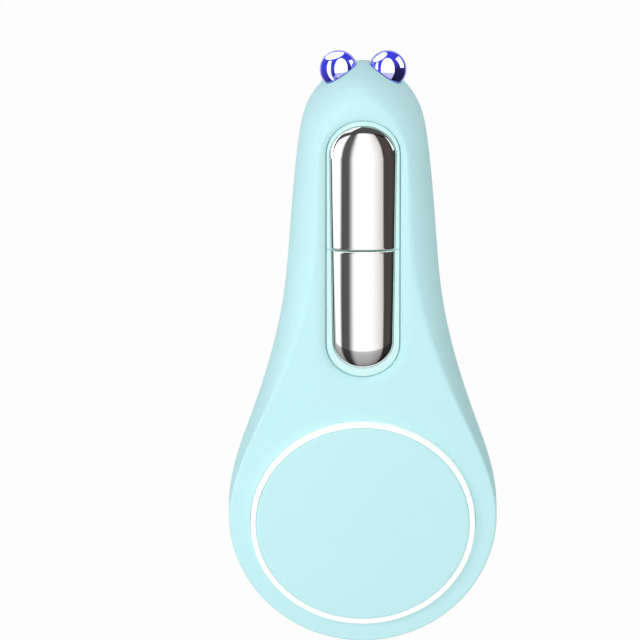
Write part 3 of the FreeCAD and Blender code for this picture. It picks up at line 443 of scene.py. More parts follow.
def dress(piece, body, node, material, sharp_angle=35.0, even=True):
    """Shades a piece, gives it its finish and puts it in its node's place."""
    mesh = piece.data
    mesh.materials.clear()
    mesh.materials.append(material)
    mesh.shade_smooth()
    mesh.set_sharp_from_angle(angle=math.radians(sharp_angle))
    if even:
        shading = piece.modifiers.new("even_shading", "WEIGHTED_NORMAL")
        shading.keep_sharp = True
    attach(piece, body)
    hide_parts(node)
    return piece


def linked(tree, kind, **inputs):
    """A node with its inputs set, each to a value or to another node's output."""
    node = tree.nodes.new(kind)
    for name, value in inputs.items():
        feed(tree, node.inputs[name.replace("_", " ")], value)
    return node


def feed(tree, socket, value):
    """Sets an input to a value or to another node's output."""
    if isinstance(value, bpy.types.NodeSocket):
        tree.links.new(value, socket)
    else:
        socket.default_value = value


def reckoned(tree, operation, first, second):
    """A number worked out from two others."""
    node = tree.nodes.new("ShaderNodeMath")
    node.operation = operation
    feed(tree, node.inputs[0], first)
    feed(tree, node.inputs[1], second)
    return node.outputs["Value"]


def blended(tree, fac, first, second, blend="MIX"):
    """A colour made from two others."""
    mix = tree.nodes.new("ShaderNodeMix")
    mix.data_type = "RGBA"
    mix.blend_type = blend
    for name, value in (("Factor", fac), ("A", first), ("B", second)):
        feed(tree, mix.inputs[name], value)
    return mix.outputs["Result"]


def either(tree, fac, first, second):
    """One shader or the other, by a share."""
    mix = linked(tree, "ShaderNodeMixShader", Fac=fac)
    tree.links.new(first, mix.inputs[1])
    tree.links.new(second, mix.inputs[2])
    return mix.outputs["Shader"]


def emptied(block):
    """The cleared node tree of a new material or world."""
    block.use_nodes = True
    block.node_tree.nodes.clear()
    return block.node_tree


def shade_range(tree, fac, tone, spread):
    """A colour that wavers round its tone."""
    darker, lighter = [[min(1.0, part * (1 + sign * spread)) for part in tone] + [1.0] for sign in (-1, 1)]
    return blended(tree, fac, darker, lighter)


def finish(name, tone, roughness, metal=0.0, grain=0.3 * MM, depth=0.005 * MM, spread=0.03, **constants):
    """A moulded, plated or painted finish with a fine grain."""
    material = bpy.data.materials.new(name)
    material.use_nodes = True
    tree = material.node_tree
    shader = tree.nodes["Principled BSDF"]
    place = tree.nodes.new("ShaderNodeTexCoord").outputs["Object"]
    fine = linked(tree, "ShaderNodeTexNoise", Vector=place, Scale=1 / grain, Detail=3.0)
    broad = linked(tree, "ShaderNodeTexNoise", Vector=place, Scale=0.06 / grain, Detail=2.0)
    tree.links.new(shade_range(tree, broad.outputs["Fac"], tone, spread), shader.inputs["Base Color"])
    dull = linked(tree, "ShaderNodeMapRange", Value=fine.outputs["Fac"], To_Min=roughness * 0.85,
                  To_Max=min(1.0, roughness * 1.15))
    tree.links.new(dull.outputs["Result"], shader.inputs["Roughness"])
    if depth:
        bump = linked(tree, "ShaderNodeBump", Height=fine.outputs["Fac"], Distance=depth, Strength=1.0)
        tree.links.new(bump.outputs["Normal"], shader.inputs["Normal"])
    shader.inputs["Metallic"].default_value = metal
    for socket, value in constants.items():
        shader.inputs[socket.replace("_", " ")].default_value = value
    return material


def shared(name, *values, **constants):
    """A finish of several pieces, made once. Slots' names are taken by the frame's plain materials."""
    return bpy.data.materials.get(name) or finish(name, *values, **constants)


def silicone(context):
    """Soft-touch silicone of the skin and the button."""
    return shared("soft_silicone", context.scene.eye_device_colours.mint, 0.82, grain=0.22 * MM,
                  depth=0.0025 * MM, spread=0.012, Specular_IOR_Level=0.12)


def foam(context):
    """Open foam of the button's ring and the cell's pad."""
    return shared("cell_foam", context.scene.eye_device_colours.foam, 0.95, grain=0.3 * MM,
                  depth=0.12 * MM, spread=0.25)


class EYEDEVICE_OT_silicone_sleeve(bpy.types.Operator):
    """Soft skin round the whole body, with its openings"""
    bl_idname = "eye_device.silicone_sleeve"
    bl_label = "Silicone sleeve"

    def execute(self, context):
        body = context.scene.eye_device_body
        contact = context.scene.eye_device_contact
        button = context.scene.eye_device_button
        balls = context.scene.eye_device_balls
        skin = piece_of(lofted(body_levels(body, 0.0)), "silicone_sleeve")
        half_width = contact.tray_half_width + contact.gap
        start = contact.tray_start - contact.gap + half_width
        end = contact.tray_end + contact.gap - half_width
        lip = [bar_ring(half_width, start, half_width, end, body.depth - WINDOW_CUT)]
        for angle in range(0, 91, 10):
            out = half_width + body.lip_width * (1 - math.cos(math.radians(angle)))
            height = body.depth - body.lip_depth * (1 - math.sin(math.radians(angle)))
            lip.append(bar_ring(out, start, out, end, height))
        lip.append(bar_ring(out, start, out, end, body.depth + WINDOW_PAST))
        tools = [lofted(body_levels(body, body.wall)), lofted(lip),
                 rod_shape((0, 0, body.depth - RING_CUT), (0, 0, body.depth + RING_CUT),
                           button.ring_radius + RING_GAP, ROUND_STEPS)]
        for side in (-1, 1):
            middle = Vector((side * balls.offset, balls.reach, balls.height))
            socket = bmesh.new()
            bmesh.ops.create_uvsphere(socket, u_segments=96, v_segments=48, radius=balls.radius + balls.gap,
                                      matrix=Matrix.Translation(middle))
            tools.append(socket)
            tools.append(rod_shape(middle - Vector((0, STEM_CUT, 0)), middle,
                                   balls.stem_radius + balls.stem_gap))
        plug = (SOCKET_LOW + SOCKET_HIGH) / 2
        tools.append(rod_shape((0, SLEEVE_LOW.y - PLUG_CUT, plug.z), (0, SOCKET_LOW.y + PLUG_INSIDE, plug.z),
                               body.plug_hole_radius))
        worked(skin, tools)
        dress(skin, "body", "silicone_sleeve", silicone(context))
        return {"FINISHED"}


class EYEDEVICE_OT_button_cap(bpy.types.Operator):
    """Large round button face"""
    bl_idname = "eye_device.button_cap"
    bl_label = "Button cap"

    def execute(self, context):
        sizes = context.scene.eye_device_button
        radius, bottom, top = CAP_HIGH.x, CAP_LOW.z, CAP_HIGH.z
        corners = [(0, bottom), (radius * 0.6, bottom), (radius, bottom), (radius, top), (radius * 0.97, top),
                   (radius * 0.6, top), (0, top)]
        shape = turned(corners)
        rim = [edge for edge in level_edges(shape, top)
               if all(vert.co.xy.length > radius * 0.99 for vert in edge.verts)]
        round_edges(shape, rim, sizes.cap_rounding, 6)
        dress(piece_of(shape, "button_cap"), "button", "button_cap", silicone(context))
        return {"FINISHED"}


class EYEDEVICE_OT_light_ring(bpy.types.Operator):
    """White ring round the button, with the legs that bring the light up"""
    bl_idname = "eye_device.light_ring"
    bl_label = "Light ring"

    def execute(self, context):
        sizes = context.scene.eye_device_button
        outer = sizes.ring_radius
        inner = outer - sizes.ring_width
        lip = outer - sizes.flange_width
        bottom, top = sizes.flange_bottom, RING_HIGH.z
        step = bottom + sizes.flange_height
        corners = [(lip, bottom), (outer, bottom), (outer, top), (inner, top), (inner, step), (lip, step),
                   (lip, bottom)]
        shape = turned(corners)
        rim = [edge for edge in level_edges(shape, top)
               if abs(edge.verts[0].co.xy.length - edge.verts[1].co.xy.length) < 0.01 * MM]
        round_edges(shape, rim, sizes.ring_rounding)
        ring = piece_of(shape, "light_ring")
        legs = []
        for turn in range(4):
            spot = Matrix.Rotation(turn * math.pi / 2, 3, "Z") @ Vector((sizes.leg_circle, 0, 0))
            legs.append(rod_shape(spot + Vector((0, 0, RING_LOW.z)), spot + Vector((0, 0, step - 0.1 * MM)),
                                  sizes.leg_radius, 32))
        worked(ring, legs, "UNION")
        tone = context.scene.eye_device_colours.ring
        # Faint glow: partly the light ring lit from its legs, partly painted light that whitens the ring's
        # walls where they would lie in shade.
        material = finish("ring_diffuser", tone, 0.30, grain=0.5 * MM, depth=0.001 * MM, spread=0.01,
                          Emission_Color=(1.0, 1.0, 1.0, 1.0), Emission_Strength=0.2)
        dress(ring, "body", "light_ring", material)
        return {"FINISHED"}


class EYEDEVICE_OT_contact_plates(bpy.types.Operator):
    """Chrome contact in the neck, in two halves"""
    bl_idname = "eye_device.contact_plates"
    bl_label = "Contact plates"

    def execute(self, context):
        sizes = context.scene.eye_device_contact
        tone = context.scene.eye_device_colours.chrome
        material = finish("contact_chrome", tone, 0.045, 1.0, grain=0.4 * MM, depth=0.0, spread=0.008)
        for which, toward in (("lower", -1), ("upper", 1)):
            shape = lofted(plate_levels(sizes))
            cut = Vector((0, sizes.split_reach + toward * sizes.split_gap / 2, 0))
            seam = sliced(shape, cut, (0, -toward, 0), True)
            sliced(shape, cut + Vector((0, toward * SEAM_SUPPORT, 0)), (0, 1, 0))
            close_holes(shape)
            crest = [edge for edge in seam if edge.is_valid
                     and all(vert.co.z > sizes.plate_edge - 0.01 * MM for vert in edge.verts)]
            round_edges(shape, crest, SEAM_ROUNDING, 3)
            dress(piece_of(shape, f"{which}_electrode"), "body", f"{which}_electrode", material,
                  even=False)
        return {"FINISHED"}


def plate_levels(sizes):
    """Rings of the crowned contact bar."""
    near = sizes.plate_start + sizes.foot_half_width
    far = sizes.plate_end - sizes.plate_half_width
    foot, head = sizes.foot_half_width, sizes.plate_half_width
    levels = [bar_ring(foot, near, head, far, sizes.plate_seat, 48)]
    for angle in range(0, 91, 3):
        drawn = foot * (1 - math.cos(math.radians(angle)))
        height = sizes.plate_edge + sizes.plate_crown * math.sin(math.radians(angle))
        levels.append(bar_ring(foot - drawn, near, head - drawn, far, height, 48))
    return levels


class EYEDEVICE_OT_contact_tray(bpy.types.Operator):
    """Plastic tray whose rim shows round the contact"""
    bl_idname = "eye_device.contact_tray"
    bl_label = "Contact tray"

    def execute(self, context):
        sizes = context.scene.eye_device_contact
        body = context.scene.eye_device_body
        half_width = sizes.tray_half_width
        start = sizes.tray_start + half_width
        end = sizes.tray_end - half_width
        rounding = sizes.rim_rounding
        near = sizes.plate_start + sizes.foot_half_width
        far = sizes.plate_end - sizes.plate_half_width
        gap = PLATE_GAP

        def outer(out, height):
            return bar_ring(half_width - out, start, half_width - out, end, height, 48)

        def inner(out, height):
            return bar_ring(sizes.foot_half_width + gap + out, near, sizes.plate_half_width + gap + out, far,
                            height, 48)

        rim = [(rounding * (1 - math.cos(math.radians(angle))),
                sizes.tray_top - rounding * (1 - math.sin(math.radians(angle))))
               for angle in range(0, 91, 15)]
        levels = [outer(0.0, sizes.tray_bottom), *(outer(*spot) for spot in rim),
                  *(inner(*spot) for spot in reversed(rim)), inner(0.0, sizes.plate_seat)]
        tray = piece_of(lofted(levels), "electrode_tray")
        flange = piece_of(lofted([outer(-sizes.flange_width, sizes.tray_bottom + rise)
                                  for rise in (0.0, sizes.flange_height)]), "flange")
        worked(flange, [lofted(body_levels(body, body.wall + CASING_ROOM))], "INTERSECT")
        skirt = bmesh.new()
        skirt.from_mesh(flange.data)
        bpy.data.objects.remove(flange)
        rib_half = sizes.split_gap / 2 - gap
        rib_reach, rib_sink, rib_drop = 5.3 * MM, 0.2 * MM, 0.02 * MM
        rib = box_shape((-rib_reach, sizes.split_reach - rib_half, sizes.plate_seat - rib_sink),
                        (rib_reach, sizes.split_reach + rib_half, sizes.tray_top - rib_drop))
        worked(tray, [skirt, rib], "UNION")
        notch_reach, notch_half, notch_depth, past = 7 * MM, 0.1 * MM, 0.3 * MM, 1 * MM
        notch = box_shape((-notch_reach, sizes.split_reach - notch_half, sizes.tray_top - notch_depth),
                          (notch_reach, sizes.split_reach + notch_half, sizes.tray_top + past))
        worked(tray, [notch])
        tone = context.scene.eye_device_colours.tray
        material = finish("tray_plastic", tone, 0.25, grain=0.4 * MM, depth=0.001 * MM, spread=0.01)
        dress(tray, "body", "electrode_tray", material)
        return {"FINISHED"}


class EYEDEVICE_OT_ball_contacts(bpy.types.Operator):
    """Two blue-violet balls at the head, with their stems"""
    bl_idname = "eye_device.ball_contacts"
    bl_label = "Ball contacts"

    def execute(self, context):
        sizes = context.scene.eye_device_balls
        tone = context.scene.eye_device_colours.ball
        material = finish("ball_plating", tone, 0.03, 1.0, grain=0.4 * MM, depth=0.0, spread=0.02)
        stem_end = BALL_LOW.y - sizes.reach
        neck = math.asin(sizes.stem_radius / sizes.radius)
        corners = [(0, stem_end), (sizes.stem_radius, stem_end)]
        for angle in np.linspace(neck - math.pi / 2, math.pi / 2, 48):
            corners.append((sizes.radius * math.cos(angle), sizes.radius * math.sin(angle)))
        for side, sign in (("left", -1), ("right", 1)):
            middle = Vector((sign * sizes.offset, sizes.reach, sizes.height))
            shape = turned(corners, Vector((0, 1, 0)), middle)
            foot = [edge for edge in shape.edges
                    if all(abs(vert.co.y - BALL_LOW.y) < SAME_PLACE
                           and abs((vert.co - middle).xz.length - sizes.stem_radius) < SAME_PLACE
                           for vert in edge.verts)]
            round_edges(shape, foot, STEM_ROUNDING, 2)
            ball = piece_of(shape, f"{side}_sphere")
            ball.visible_diffuse = False
            dress(ball, "body", f"{side}_sphere", material, even=False)
        return {"FINISHED"}


class EYEDEVICE_OT_charging_socket(bpy.types.Operator):
    """Socket behind the plug hole in the base's end"""
    bl_idname = "eye_device.charging_socket"
    bl_label = "Charging socket"

    def execute(self, context):
        sizes = context.scene.eye_device_balls
        height = (SOCKET_LOW.z + SOCKET_HIGH.z) / 2
        housing = box_shape((SOCKET_LOW.x, sizes.nose_start, SOCKET_LOW.z), SOCKET_HIGH)
        round_edges(housing, housing.edges, NOSE_BEVEL, 3)
        socket = piece_of(housing, "charging_socket")
        mouth = SOCKET_LOW.y
        past = 1 * MM
        root = sizes.nose_start + past
        nose_corners = [(0, mouth), (sizes.nose_radius - NOSE_BEVEL, mouth),
                        (sizes.nose_radius, mouth + NOSE_BEVEL), (sizes.nose_radius, root), (0, root)]
        axis = Vector((0, 1, 0))
        centre = Vector((0, 0, height))
        worked(socket, [turned(nose_corners, axis, centre)], "UNION")
        lead_in = 0.25 * MM
        bore_end = mouth + sizes.bore_length
        bore_corners = [(0, mouth - past), (sizes.bore_radius + lead_in, mouth - past),
                        (sizes.bore_radius + lead_in, mouth), (sizes.bore_radius, mouth + lead_in),
                        (sizes.bore_radius, bore_end), (0, bore_end)]
        worked(socket, [turned(bore_corners, axis, centre)])
        tone = context.scene.eye_device_colours.socket
        material = finish("socket_plastic", tone, 0.40, grain=0.25 * MM, depth=0.004 * MM, spread=0.1)
        dress(socket, "body", "charging_socket", material)
        return {"FINISHED"}


class EYEDEVICE_OT_foam_pieces(bpy.types.Operator):
    """Foam ring under the button and foam pad under the cell"""
    bl_idname = "eye_device.foam_pieces"
    bl_label = "Foam pieces"

    def execute(self, context):
        sizes = context.scene.eye_device_button
        inner, outer = sizes.cushion_inner, CUSHION_HIGH.x
        middle, half = (inner + outer) / 2, (outer - inner) / 2
        low, high = CUSHION_LOW.z, CUSHION_HIGH.z
        centre, rise = (low + high) / 2, (high - low) / 2
        corners = []
        for angle in np.linspace(0, 2 * math.pi, 41):
            across, up = math.cos(angle), math.sin(angle)
            corners.append((middle + half * math.copysign(abs(across) ** 0.35, across),
                            centre + rise * math.copysign(abs(up) ** 0.35, up)))
        ring = piece_of(turned(corners), "button_cushion")
        dress(ring, "body", "button_cushion", foam(context), 60.0)
        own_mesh(ring)
        shape = box_shape(PAD_LOW, PAD_HIGH)
        round_edges(shape, shape.edges, 0.5 * MM, 4)
        bmesh.ops.subdivide_edges(shape, edges=[edge for edge in shape.edges if edge.calc_length() > 3 * MM],
                                  cuts=6, use_grid_fill=True)
        pad = piece_of(shape, "battery_pad")
        dress(pad, "body", "battery_pad", foam(context), 60.0)
        return {"FINISHED"}


class EYEDEVICE_OT_inner_finishes(bpy.types.Operator):
    """Finishes of the pieces inside the body"""
    bl_idname = "eye_device.inner_finishes"
    bl_label = "Inner finishes"

    def execute(self, context):
        slots = {part["node"]: part["material_slot"] for part in frame["record"]["subparts"]}
        made = {name: finish(name, *values) for name, values in INNER_FINISHES.items()}
        made["board_green"] = solder_mask()
        for node, slot in slots.items():
            if slot in made and not frame["nodes"][node].hide_render:
                mesh = frame["nodes"][node].data
                mesh.materials.clear()
                mesh.materials.append(made[slot])
        return {"FINISHED"}


def solder_mask():
    """Green board with faint tracks under the mask."""
    material = finish("board_green", (0.045, 0.22, 0.11), 0.35, grain=0.3 * MM, depth=0.002 * MM, spread=0.05)
    tree = material.node_tree
    shader = tree.nodes["Principled BSDF"]
    place = tree.nodes.new("ShaderNodeTexCoord").outputs["Object"]
    tracks = linked(tree, "ShaderNodeTexBrick", Vector=place, Scale=250.0, Mortar_Size=0.06,
                    Color1=(0.040, 0.20, 0.10, 1.0), Color2=(0.048, 0.23, 0.115, 1.0),
                    Mortar=(0.09, 0.33, 0.16, 1.0))
    tree.links.new(tracks.outputs["Color"], shader.inputs["Base Color"])
    return material


def seen_in_picture(tree):
    """1 for rays that show the surroundings themselves, 0 for the light that they give."""
    path = tree.nodes.new("ShaderNodeLightPath")
    total = path.outputs["Is Camera Ray"]
    for kind in ("Is Glossy Ray", "Is Transmission Ray"):
        total = reckoned(tree, "MAXIMUM", total, path.outputs[kind])
    return total


def studio_world(low, high):
    """Soft light that is stronger from above, on a white surrounding."""
    world = bpy.data.worlds.new("studio")
    tree = emptied(world)
    way = tree.nodes.new("ShaderNodeTexCoord").outputs["Generated"]
    rise = linked(tree, "ShaderNodeSeparateXYZ", Vector=way).outputs["Z"]
    strength = linked(tree, "ShaderNodeMapRange", Value=rise, To_Min=low, To_Max=high)
    light = linked(tree, "ShaderNodeBackground", Color=(0.96, 1.0, 0.98, 1.0),
                   Strength=strength.outputs["Result"])
    white = linked(tree, "ShaderNodeBackground", Color=(1.0, 1.0, 1.0, 1.0), Strength=1.0)
    both = either(tree, seen_in_picture(tree), light.outputs["Background"], white.outputs["Background"])
    linked(tree, "ShaderNodeOutputWorld", Surface=both)
    bpy.context.scene.world = world


def floor_finish(white_share):
    """White paper that keeps a soft shadow, and is clear from below."""
    material = bpy.data.materials.new("white_paper")
    tree = emptied(material)
    paper = linked(tree, "ShaderNodeBsdfDiffuse", Color=(0.55, 0.55, 0.55, 1.0))
    glow = linked(tree, "ShaderNodeEmission", Color=(1.0, 1.0, 1.0, 1.0), Strength=1.0)
    share = reckoned(tree, "MULTIPLY", seen_in_picture(tree), white_share)
    above = either(tree, share, paper.outputs["BSDF"], glow.outputs["Emission"])
    clear = tree.nodes.new("ShaderNodeBsdfTransparent").outputs["BSDF"]
    below = tree.nodes.new("ShaderNodeNewGeometry").outputs["Backfacing"]
    linked(tree, "ShaderNodeOutputMaterial", Surface=either(tree, below, above, clear))
    return material


def studio_card(name, shape, material):
    """A studio card that only mirror-like surfaces show."""
    piece = piece_of(shape, name)
    piece.data.materials.append(material)
    for kind in ("camera", "diffuse", "transmission", "volume_scatter", "shadow"):
        setattr(piece, f"visible_{kind}", False)


def ramp(tree, value, stops):
    """Colours along a value, from (position, grey or colour) stops."""
    node = tree.nodes.new("ShaderNodeValToRGB")
    tree.links.new(value, node.inputs["Fac"])
    elements = node.color_ramp.elements
    while len(elements) < len(stops):
        elements.new(0.5)
    for element, (position, tone) in zip(elements, stops):
        element.position = position
        element.color = (*tone, 1.0) if isinstance(tone, tuple) else (tone, tone, tone, 1.0)
    return node.outputs["Color"]


def glowing(name, strength, tone_of=None):
    """A card's glow, with its tone worked out from the place on the card."""
    material = bpy.data.materials.new(name)
    tree = emptied(material)
    tone = tone_of(tree) if tone_of else (1.0, 1.0, 1.0, 1.0)
    glow = linked(tree, "ShaderNodeEmission", Color=tone, Strength=strength)
    linked(tree, "ShaderNodeOutputMaterial", Surface=glow.outputs["Emission"])
    return material


def clear_up_close(material, distance):
    """Makes a card clear to whatever mirrors it from nearer than a distance."""
    tree = material.node_tree
    ray = tree.nodes.new("ShaderNodeLightPath").outputs["Ray Length"]
    near = reckoned(tree, "LESS_THAN", ray, distance)
    surface = tree.nodes["Material Output"].inputs["Surface"]
    clear = tree.nodes.new("ShaderNodeBsdfTransparent").outputs["BSDF"]
    tree.links.new(either(tree, near, surface.links[0].from_socket, clear), surface)


def share_along(tree, way, low, high):
    """0 to 1 between two distances along a direction."""
    place = tree.nodes.new("ShaderNodeTexCoord").outputs["Object"]
    along = tree.nodes.new("ShaderNodeVectorMath")
    along.operation = "DOT_PRODUCT"
    tree.links.new(place, along.inputs[0])
    along.inputs[1].default_value = way
    share = linked(tree, "ShaderNodeMapRange", Value=along.outputs["Value"], From_Min=low, From_Max=high)
    return share.outputs["Result"]


def card_shape(corners):
    """A card with the given corners."""
    shape = bmesh.new()
    bmesh.ops.create_circle(shape, cap_ends=True, segments=len(corners), radius=1.0)
    for vert, corner in zip(shape.verts, corners):
        vert.co = corner
    return shape


def contact_card(contact):
    """Long striped card that the chrome contact mirrors; its stripes fan out towards the foot."""
    mirrored = Vector((0, -CAMERA_BACK.y, CAMERA_BACK.z))
    along = Vector((0, CAMERA_BACK.z, CAMERA_BACK.y))
    reach, wide, long = 0.3, 1.0, 0.3
    foot, head = -18.5 * MM * CAMERA_BACK.z, 22 * MM * CAMERA_BACK.z
    centre = contact + mirrored * reach
    shape = bmesh.new()
    shape.loops.layers.uv.new("stripes")
    bmesh.ops.create_grid(shape, x_segments=128, y_segments=3, size=1.0, calc_uvs=True)
    for vert in shape.verts:
        row = round((vert.co.y + 1) * 1.5)
        fan = (1.27, 1.27, 1.0, 1.0)[row]
        vert.co = centre + Vector((wide * fan * vert.co.x, 0, 0)) + along * (-long, foot, head, long)[row]

    def across(angle):
        return 0.5 + reach * math.tan(math.radians(angle)) / wide / 2

    def up(distance):
        return 0.5 + distance / long / 2

    def from_foot(angle):
        return up(foot + reach * math.tan(math.radians(angle)))

    stripes = [(0.0, 0.06), (across(-37.9), 0.06), (across(-36.9), 1.0), (across(-14.9), 1.0),
               (across(-14.2), 0.075), (across(-6.9), 0.09), (across(-4.5), 0.9), (across(-3.0), 1.0),
               (across(4), 1.0), (across(11.8), (0.62, 0.58, 0.57)), (across(12.4), 0.05),
               (across(22), (0.075, 0.055, 0.055)), (across(32), 0.045), (across(68), 0.045),
               (across(69.5), 1.0)]
    fade = [(0.0, 0.18), (from_foot(-35), 0.2), (from_foot(-10), 0.42), (from_foot(-6.6), 0.52),
            (from_foot(-6.2), 1.0), (up(0.163), 1.0), (up(0.172), 0.08), (1.0, 0.08)]

    def tone_of(tree):
        place = tree.nodes.new("ShaderNodeTexCoord").outputs["UV"]
        bands = ramp(tree, linked(tree, "ShaderNodeSeparateXYZ", Vector=place).outputs["X"], stripes)
        low = centre.dot(along) - long
        rise = ramp(tree, share_along(tree, tuple(along), low, low + 2 * long), fade)
        return blended(tree, 1.0, bands, rise, "MULTIPLY")

    studio_card("contact_card", shape, glowing("striped_card", 1.12, tone_of))
    spot = contact + mirrored * (reach * 0.99)
    corners = [spot + Vector((x, 0, 0)) + along * y for x, y in
               ((0.235, 0.045), (0.6, 0.045), (0.6, 0.28), (0.235, 0.28))]
    studio_card("side_card", card_shape(corners), glowing("side_glow", 1.12))


def mirror_spot(middle, across, up, reach):
    """The point that a ball shows at a place on its face, across and up from its middle in radii."""
    face = Vector((across, 0, 0)) + CAMERA_UP * up
    normal = face + CAMERA_BACK * math.sqrt(max(0.0, 1 - face.length_squared))
    way = normal * (2 * normal.dot(CAMERA_BACK)) - CAMERA_BACK
    if way.z < 0:
        reach *= min(1.0, 0.95 * middle.z / (-way.z * BALL_CARD_REACH))
    return middle + way * reach


def ball_cards(middle):
    """Blue screen and white lamps that the balls mirror, and a flag that hides them from the contact."""
    reach = BALL_CARD_REACH
    screen = bmesh.new()
    bmesh.ops.create_grid(screen, x_segments=32, y_segments=32, size=1.0)
    for vert in screen.verts:
        across = 0.87 * vert.co.x
        high = math.sqrt(0.89 ** 2 - across ** 2)
        low = -min(high, 0.3 + 1.2 * max(0.0, abs(across) - 0.3))
        vert.co = mirror_spot(middle, across, low + (high - low) * (vert.co.y + 1) / 2, reach)

    def blue(tree):
        way = (CAMERA_UP * 0.9 - Vector((0.45, 0, 0))).normalized()
        start = middle.dot(way)
        return ramp(tree, share_along(tree, tuple(way), start - reach, start + reach),
                    [(0.0, (0.05, 0.045, 0.05)), (0.3, (0.09, 0.075, 0.13)), (0.55, (0.25, 0.20, 0.60)),
                     (0.8, (0.20, 0.23, 0.90))])

    def dim_below(tree):
        level = middle.dot(CAMERA_UP) - 9 * MM
        return ramp(tree, share_along(tree, tuple(CAMERA_UP), level - 0.5 * MM, level + 0.5 * MM),
                    [(0.0, (0.48, 0.45, 0.22)), (1.0, 1.0)])

    studio_card("ball_screen", screen, glowing("blue_screen", 1.0, blue))
    front = bmesh.new()
    bmesh.ops.create_grid(front, x_segments=16, y_segments=16, size=1.0)
    for vert in front.verts:
        up = 0.03 + 0.53 * vert.co.y
        across = 0.06 + 0.34 * vert.co.x * math.sqrt(max(0.0, 1 - (up / 0.56) ** 2))
        vert.co = mirror_spot(middle, across, up, 0.96 * reach)
    lamp = glowing("lamp_glow", 5.0)
    half_lamp = glowing("half_lamp_glow", 5.0, dim_below)
    clear_up_close(half_lamp, 18.5 * MM)
    studio_card("front_lamp", front, half_lamp)
    turns = np.linspace(0, 2 * math.pi, 64, endpoint=False)
    lean = Matrix.Rotation(0.42, 2)
    high = [Vector((-0.30, 0.64)) + lean @ Vector((0.45 * math.cos(turn), 0.16 * math.sin(turn)))
            for turn in turns]
    side = [Vector(spot) for spot in ((-0.52, 0.37), (-0.40, 0.37), (-0.43, 0.04), (-0.28, -0.55),
                                      (-0.34, -0.55), (-0.60, -0.02))]
    far = [Vector(spot) for spot in ((0.44, 0.45), (0.62, 0.56), (0.80, 0.06), (0.64, 0.06))]
    for name, spots in (("high_lamp", high), ("side_lamp", side), ("far_lamp", far)):
        corners = [mirror_spot(middle, spot.x, spot.y, 0.96 * reach) for spot in spots]
        studio_card(name, card_shape(corners), lamp)
    slope = Vector((0, -math.sin(math.radians(31)), math.cos(math.radians(31))))
    flag = [(-7.5, 9.5), (7.5, 9.5), (7.5, 15.2), (-7.5, 15.2)]
    wedge = [(-0.6, 9.5), (-0.7, 10.6), (-3.1, 13.5), (-7.4, 12.2), (-7.4, 9.5)]
    for name, spots, shift, strength in (("flag", flag, 0.0, 0.08), ("flag_wedge", wedge, -0.1, 1.12)):
        corners = [middle + Vector((x * MM, shift * MM, 0)) + slope * along * MM for x, along in spots]
        studio_card(name, card_shape(corners), glowing(f"{name}_glow", strength))


def softbox(name, size, power, place, target):
    """A square lamp that isn't seen itself."""
    lamp = bpy.data.objects.new(name, bpy.data.lights.new(name, "AREA"))
    lamp.data.size = size
    lamp.data.energy = power
    lamp.location = place
    lamp.rotation_euler = (target - place).to_track_quat("-Z", "Y").to_euler()
    lamp.visible_camera = False
    lamp.visible_glossy = False
    bpy.context.scene.collection.objects.link(lamp)


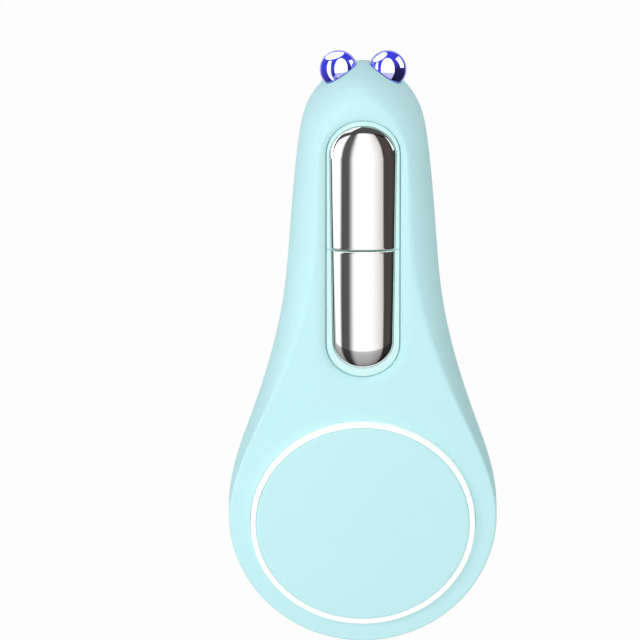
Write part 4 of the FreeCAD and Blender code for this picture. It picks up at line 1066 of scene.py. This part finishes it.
class EYEDEVICE_OT_studio(bpy.types.Operator):
    """Floor, light, studio cards and camera"""
    bl_idname = "eye_device.studio"
    bl_label = "Studio"

    def execute(self, context):
        scene = context.scene
        scene.view_settings.view_transform = "Standard"
        studio_world(0.61, 0.90)
        shape = bmesh.new()
        bmesh.ops.create_grid(shape, x_segments=1, y_segments=1, size=8.0)
        floor = piece_of(shape, "floor")
        floor.data.materials.append(floor_finish(0.97))
        middle = Vector((0, 30 * MM, 20 * MM))
        softbox("key_softbox", 0.2, 0.145, middle + Vector((-0.56, 0.47, 0.68)) * 0.33, middle)
        softbox("fill_softbox", 0.12, 0.028, middle + Vector((0.60, 0.55, 0.60)) * 0.22, middle)
        softbox("top_softbox", 0.06, 0.004, Vector((-130, 120, 40)) * MM, Vector((-8, 70, 16)) * MM)
        softbox("side_softbox", 0.06, 0.026, Vector((-100, 45, 105)) * MM, Vector((0, 0, 26 * MM)))
        contact_card(Vector((0, 50 * MM, 26 * MM)))
        balls = scene.eye_device_balls
        ball_cards(Vector((0, balls.reach, balls.height)))
        lens = bpy.data.cameras.new("camera")
        lens.lens = CAMERA_LENS
        lens.sensor_width = CAMERA_SENSOR
        lens.clip_end = 100.0
        camera = bpy.data.objects.new("camera", lens)
        distance = VIEW_WIDTH / 2 * CAMERA_LENS / (CAMERA_SENSOR / 2)
        across = CAMERA_UP.cross(CAMERA_BACK)
        turn = Matrix((across, CAMERA_UP, CAMERA_BACK)).transposed()
        camera.matrix_world = Matrix.Translation(VIEW_CENTRE + CAMERA_BACK * distance) @ turn.to_4x4()
        scene.collection.objects.link(camera)
        scene.camera = camera
        return {"FINISHED"}


OPERATORS = (
    EYEDEVICE_OT_silicone_sleeve, EYEDEVICE_OT_button_cap, EYEDEVICE_OT_light_ring,
    EYEDEVICE_OT_contact_plates, EYEDEVICE_OT_contact_tray, EYEDEVICE_OT_ball_contacts,
    EYEDEVICE_OT_charging_socket, EYEDEVICE_OT_foam_pieces, EYEDEVICE_OT_inner_finishes,
    EYEDEVICE_OT_studio,
)
GROUPS = {"eye_device_body": BodySizes, "eye_device_contact": ContactSizes, "eye_device_button": ButtonSizes,
          "eye_device_balls": BallSizes, "eye_device_colours": DeviceColours}


class EYEDEVICE_PT_panel(bpy.types.Panel):
    """Pieces of the eye device, in the order of making"""
    bl_idname = "EYEDEVICE_PT_panel"
    bl_label = "Eye device"
    bl_space_type = "VIEW_3D"
    bl_region_type = "UI"
    bl_category = "Eye device"

    def draw(self, context):
        for operator in OPERATORS:
            self.layout.operator(operator.bl_idname)
        for name, group in GROUPS.items():
            box = self.layout.box()
            for key in group.__annotations__:
                box.prop(getattr(context.scene, name), key)


CLASSES = (*GROUPS.values(), *OPERATORS, EYEDEVICE_PT_panel)


def register():
    for item in CLASSES:
        bpy.utils.register_class(item)
    for name, group in GROUPS.items():
        setattr(bpy.types.Scene, name, PointerProperty(type=group))


def unregister():
    for name in GROUPS:
        delattr(bpy.types.Scene, name)
    for item in reversed(CLASSES):
        bpy.utils.unregister_class(item)


def main():
    register()
    for operator in OPERATORS:
        getattr(bpy.ops.eye_device, operator.bl_idname.split(".")[1])()


if __name__ == "__main__":
    main()
